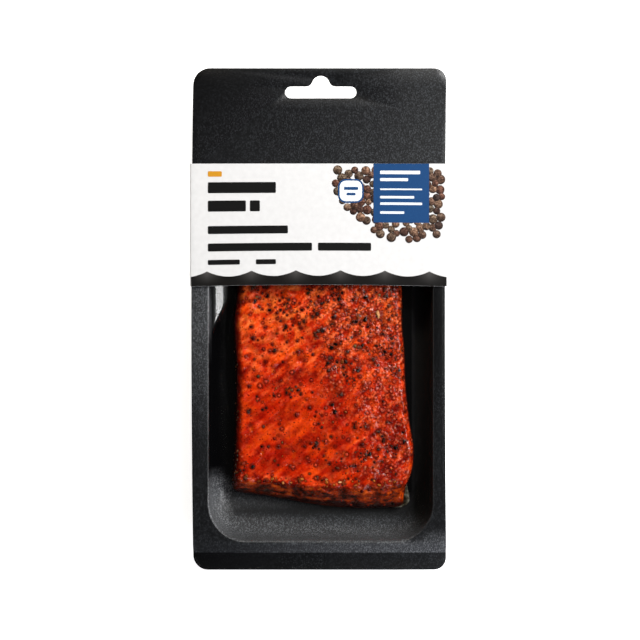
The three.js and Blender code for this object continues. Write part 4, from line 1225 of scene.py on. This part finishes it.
def film_cling(x, y, lift):
    """Where the film clings, and so hardly shines, from 0 to 1.

    It does so low on what it covers, over and by the fish, right of it, and past the tent left of it."""
    from_left, from_right, from_bottom = from_edges(x, y)
    beside = -np.minimum.reduce([from_left, from_right, from_bottom])
    cling = np.maximum(1 - smoothstep(lift, 0.4, 1.6), 1 - smoothstep(beside, 2.0, 4.5))
    cling = np.maximum(cling, (x < FISH_LEFT) * smoothstep(past_tent(x, y), -8, -3))
    return np.maximum(cling, smoothstep(-from_right, 0, 1))


def make_film():
    """Clear film that lies on the flange, falls into the recess and clings to the fish and its grains."""
    left, right = PACK_LEFT + FILM_MARGIN, PACK_RIGHT - FILM_MARGIN
    bottom, fish_bottom = PACK_BOTTOM + FILM_MARGIN, BOTTOM_EDGE[-1][1] - 1
    columns = net_lines([
        (left, RECESS_LEFT - 1, 4), (RECESS_LEFT - 1, FISH_LEFT - 1, 14),
        (FISH_LEFT - 1, FISH_RIGHT + 2, 150), (FISH_RIGHT + 2, RECESS_RIGHT + 1, 12),
        (RECESS_RIGHT + 1, right, 4),
    ])
    rows = net_lines([
        (bottom, RECESS_BOTTOM - 1, 14), (RECESS_BOTTOM - 1, fish_bottom, 18),
        (fish_bottom, LABEL_BOTTOM + 2, 170), (LABEL_BOTTOM + 2, FILM_TOP_EDGE, 24),
    ])
    film, u, v = add_grid(len(columns) - 1, len(rows) - 1)
    column = np.rint(u * (len(columns) - 1)).astype(int)
    row = np.rint(v * (len(rows) - 1)).astype(int)
    edge_left, edge_right = edge_limits(rows)
    share = (columns - left) / (right - left)
    x = edge_left[:, None] + (edge_right - edge_left)[:, None] * share[None, :]
    y = np.broadcast_to(rows[:, None], x.shape)
    under = np.where(is_over_fish(x, y), fish_height(x, y), tray_height(x, y))
    rest = np.maximum(under, film_tent(x, y)) + FILM_CLEAR
    for grain_x, grain_y, radius, top in grain_bumps:
        near = (np.abs(x - grain_x) < 0.6 * radius) & (np.abs(y - grain_y) < 0.6 * radius)
        rest[near] = np.maximum(rest[near], top + GRAIN_CLEAR)
    height = drape(rest, x, y)
    set_points(film, np.column_stack([x[row, column], y[row, column], height[row, column]]))
    set_mask(film, "cling", film_cling(x, y, height - under)[row, column])
    apply_modifier(film, "SOLIDIFY", thickness=FILM_THICK * MM, offset=1)
    smooth_shaded(film, 180)
    finished(film, "clear_film", clear_film_material(), "film")


# Label

def label_middle(x):
    """1 at the middle of the label's width, falling to 0 at its folded edges."""
    return 1 - ((2 * x - LABEL_LEFT - LABEL_RIGHT) / (LABEL_RIGHT - LABEL_LEFT)) ** 2


def make_label():
    """Band of paper folded round both long edges, its face slightly crowned and its lower edge bowed."""
    label = empty_mesh("label_band")
    add_rectangle(LABEL_LEFT, LABEL_RIGHT, LABEL_BOTTOM, LABEL_TOP, LABEL_FACE)
    under = FLANGE_TOP - SHEET - GAP - LABEL
    for side, edge_x in ((1, LABEL_LEFT), (-1, LABEL_RIGHT)):
        select(label, "EDGE", lambda p: abs(p.x - edge_x) < NEAR)
        bpy.ops.mesh.extrude_edges_move(TRANSFORM_OT_translate={"value": (0, 0, (under - LABEL_FACE) * MM)})
        select(label, "EDGE", lambda p: abs(p.x - edge_x) < NEAR and abs(p.z - under) < NEAR)
        bpy.ops.mesh.extrude_edges_move(TRANSFORM_OT_translate={"value": (side * LABEL_RETURN * MM, 0, 0)})

    def is_fold(p):
        at_side = min(abs(p.x - LABEL_LEFT), abs(p.x - LABEL_RIGHT)) < NEAR
        return at_side and min(abs(p.z - LABEL_FACE), abs(p.z - under)) < NEAR
    select(label, "EDGE", is_fold)
    bpy.ops.mesh.bevel(offset=LABEL_FOLD * MM, segments=5)
    cut_through(0, between(LABEL_LEFT, LABEL_RIGHT, 48))
    cut_through(1, between(LABEL_BOTTOM, LABEL_TOP, 8))
    face_outwards()
    leave_edit()
    set_points(label, on_label(points_of(label)))
    apply_modifier(label, "SOLIDIFY", thickness=LABEL * MM, offset=-1, use_even_offset=True)
    smooth_shaded(label, 40)
    finished(label, "label_band", label_card_material(), "label")


def on_label(points):
    """Follows the label's crown and the bow of its lower edge."""
    x, y, z = points.T
    up = np.clip((z - FLANGE_TOP) / (LABEL_FACE - FLANGE_TOP), 0, 1)
    share = np.clip((y - LABEL_BOTTOM) / (LABEL_TOP - LABEL_BOTTOM), 0, 1)
    middle = label_middle(x)
    return np.column_stack([x, y + LABEL_BOW * middle * (1 - share), z + LABEL_CROWN * middle * up])


def lay_print(obj, level, name, material):
    """Gives flat print on the label its level and thickness, and lets it follow the label's crown."""
    edit(obj)
    pitch = 4
    cut_through(0, [pitch * i for i in range(int(LABEL_LEFT // pitch), int(LABEL_RIGHT // pitch) + 1)])
    leave_edit()
    points = points_of(obj)
    points[:, 2] += level
    set_points(obj, on_label(points))
    apply_modifier(obj, "SOLIDIFY", thickness=PRINT_THICK * MM, offset=1)
    smooth_shaded(obj, 40)
    finished(obj, name, material)


def print_bars(name, bars, level, material, radius=0.5):
    """Plain bars of print, each given as (left, right, bottom, top)."""
    print_piece = empty_mesh(name)
    for left, right, bottom, top in bars:
        add_rectangle(left, right, bottom, top, LABEL_FACE)
        corners = [(left, bottom), (right, bottom), (right, top), (left, top)]
        round_corners(print_piece, corners, min(radius, 0.45 * (top - bottom)), 4)
    leave_edit()
    lay_print(print_piece, level, name, material)


def across_photo(px):
    """Place across the pack, in millimetres, of a column of the photo."""
    return (px - PHOTO_MIDDLE) * PIXEL


def up_photo(py):
    """Place along the pack, in millimetres, of a row of the photo."""
    return (PHOTO_MIDDLE - py) * PIXEL


def bar(left, top, right, bottom):
    """A bar from the photo's columns and rows."""
    return across_photo(left), across_photo(right), up_photo(bottom), up_photo(top)


def make_wave_band():
    """Dark band along the label's lower edge, with a plain scalloped upper edge that pales at its points."""
    band, u, v = add_grid(230, 6)
    side, below = 0.5, 0.06
    x = LABEL_LEFT + side + (LABEL_RIGHT - LABEL_LEFT - 2 * side) * u
    phase = ((x - WAVE_CUSP_X) / WAVE_PITCH) % 1
    trough = np.sin(math.pi * phase) ** 0.8
    crest = WAVE_CUSP_Y + (WAVE_TROUGH_Y - WAVE_CUSP_Y) * trough
    foot = LABEL_BOTTOM + below
    set_points(band, np.column_stack([x, foot + (crest - foot) * v, np.full(len(x), LABEL_FACE)]))
    set_mask(band, "mist", (1 - trough) ** 1.4 * v ** 1.5)
    ink = ink_material("band_ink_black", "#0d0c0b", "#161413", 0.5, "#4a4847")
    lay_print(band, PAPER_LEVEL, "label_band_print", ink)


def make_seed_print():
    """Printed brown seeds heaped over the label's upper right, in a plain random layout."""
    draw = random.Random(77)
    seeds = []
    for _ in range(9000):
        x, y, radius = draw.uniform(0, 55), draw.uniform(32, 67), draw.uniform(*SEED_RADII)
        away = ((x - SEED_HEAP_X) / SEED_HEAP_WIDE) ** 2 + ((y - SEED_HEAP_Y) / SEED_HEAP_LONG) ** 2
        heap = 1 - float(smoothstep(away, 0.45, 1.25))
        if draw.random() < heap and all(math.hypot(x - a, y - b) > 0.7 * (radius + r) for a, b, r in seeds):
            seeds.append((x, y, radius))
    piece = empty_mesh("seeds")
    for i, (x, y, radius) in enumerate(seeds):
        bpy.ops.mesh.select_all(action="DESELECT")
        height = LABEL_FACE + 0.001 * (i % 25)
        bpy.ops.mesh.primitive_circle_add(vertices=20, radius=0.97 * radius * MM, fill_type="TRIFAN",
                                          location=(x * MM, y * MM, height * MM))
    leave_edit()
    points = points_of(piece)
    seed = np.repeat(np.arange(len(seeds)), len(points) // len(seeds))
    x, y, radius = np.array(seeds)[seed].T
    aside, ahead = points[:, 0] - x, points[:, 1] - y
    set_mask(piece, "rim", np.hypot(aside, ahead) / radius)
    set_mask(piece, "lit", 0.5 + 0.5 * (0.5 * aside + 0.8 * ahead) / radius)
    set_mask(piece, "tint", np.array([draw.random() for _ in seeds])[seed])
    lay_print(piece, SEED_LEVEL, "label_seed_print", seed_print_material())


def make_label_print():
    """Plain fields of print, with bars where the label has lines of text."""
    black = ink_material("print_ink_black", "#0c0c0c", "#151515", 0.4)
    blue = ink_material("print_ink_blue", "#143a66", "#1a4472", 0.5)
    pale = ink_material("print_ink_pale", "#d4d8dc", "#c6ced8", 0.5)
    gold = ink_material("print_ink_gold", "#b8801c", "#c89030", 0.5)
    make_wave_band()
    make_seed_print()
    text_bars = [
        bar(208, 182.5, 276, 193.5), bar(208, 201, 246, 212), bar(250, 201, 260, 212),
        bar(208, 226.5, 288, 234.5), bar(208, 244, 312, 252), bar(318, 244, 371, 252),
        bar(208, 260.5, 240, 265.5), bar(256, 260.5, 276, 265.5),
    ]
    panel_lines = [
        bar(380, 171, 420, 174.5), bar(380, 178.5, 408, 181.5), bar(380, 189, 422, 190.5),
        bar(380, 196.5, 414, 199), bar(380, 203, 422, 205.5), bar(380, 212, 404, 214.5),
    ]
    badge_lines = [bar(344, 187.5, 358, 190.5), bar(346.5, 193.5, 355.5, 196)]
    print_bars("label_bars", text_bars, PAPER_LEVEL, black)
    print_bars("label_gold_bar", [bar(208, 171.5, 222, 177)], PAPER_LEVEL, gold)
    print_bars("label_panel", [bar(373.4, 163.9, 429, 223.3)], PANEL_LEVEL, blue, 0.1)
    print_bars("label_panel_lines", panel_lines, LINE_LEVEL, pale, 0.3)
    print_bars("label_badge_rim", [bar(338, 179.5, 363.6, 203.6)], PANEL_LEVEL, blue, 3.4)
    print_bars("label_badge", [bar(339.6, 181.1, 362, 202)], LINE_LEVEL, pale, 2.8)
    print_bars("label_badge_lines", badge_lines, BADGE_LEVEL, blue, 0.4)


# Stage, lights and camera

def make_stage():
    """Pale floor just under the pack."""
    bpy.ops.object.select_all(action="DESELECT")
    bpy.ops.mesh.primitive_plane_add(size=4, location=(0, 0, -0.0002))
    floor = bpy.context.object
    floor.name = "floor"
    material, tree = new_material("pale_studio_floor")
    glow = {"Emission Color": linear("#ffffff"), "Emission Strength": 0.8}
    surface(tree, {"Base Color": linear("#fafafa"), "Roughness": 0.9, **glow})
    floor.data.materials.append(material)


def add_light(name, place, size, power, colour):
    """A soft lamp that points at the frame's origin, with its place and size in metres."""
    data = bpy.data.lights.new(name, "AREA")
    data.shape = "RECTANGLE"
    data.size, data.size_y = size
    data.energy = power
    data.color = linear(colour)[:3]
    light = placed(name, data)
    light.location = place
    light.rotation_euler = (-Vector(place)).to_track_quat("-Z", "Y").to_euler()


def make_lights():
    add_light("key_softbox", (0.72, 0.45, 0.8), (1.3, 0.5), 24, "#ffffff")
    add_light("top_softbox", (-0.12, 0.75, 0.66), (0.7, 0.2), 4, "#fff3e2")
    add_light("spark_lamp", (0.45, 0.5, 0.9), (0.07, 0.07), 3.2, "#ffffff")
    add_light("fill_softbox", (0.25, -0.6, 0.5), (0.3, 0.2), 1.5, "#ecf0ff")
    world = bpy.data.worlds.new("soft_room")
    bpy.context.scene.world = world
    world.use_nodes = True
    background = world.node_tree.nodes["Background"].inputs
    fill(world.node_tree, background, {"Color": linear("#ffffff"), "Strength": 0.05})


def make_camera():
    """Long lens straight above the pack, framed as the photo is."""
    distance, sensor = 0.9, 36.0
    data = bpy.data.cameras.new("camera")
    data.sensor_width = sensor
    data.lens = sensor * distance / (PHOTO_WIDTH * PIXEL * MM)
    data.clip_start, data.clip_end = 0.01, 10
    camera = placed("camera", data)
    middle = PHOTO_WIDTH / 2
    camera.location.x = across_photo(middle) * MM + SHIFT.x
    camera.location.y = up_photo(middle) * MM + SHIFT.y
    camera.location.z = FLANGE_TOP * MM + distance
    bpy.context.scene.camera = camera


make_camera()
make_stage()
make_lights()
make_tray()
make_skin()
trout = make_fillet()
make_spice()
darken_round_grains(trout)
make_film()
make_label()
make_label_print()

bpy.context.scene.view_settings.view_transform = "Standard"
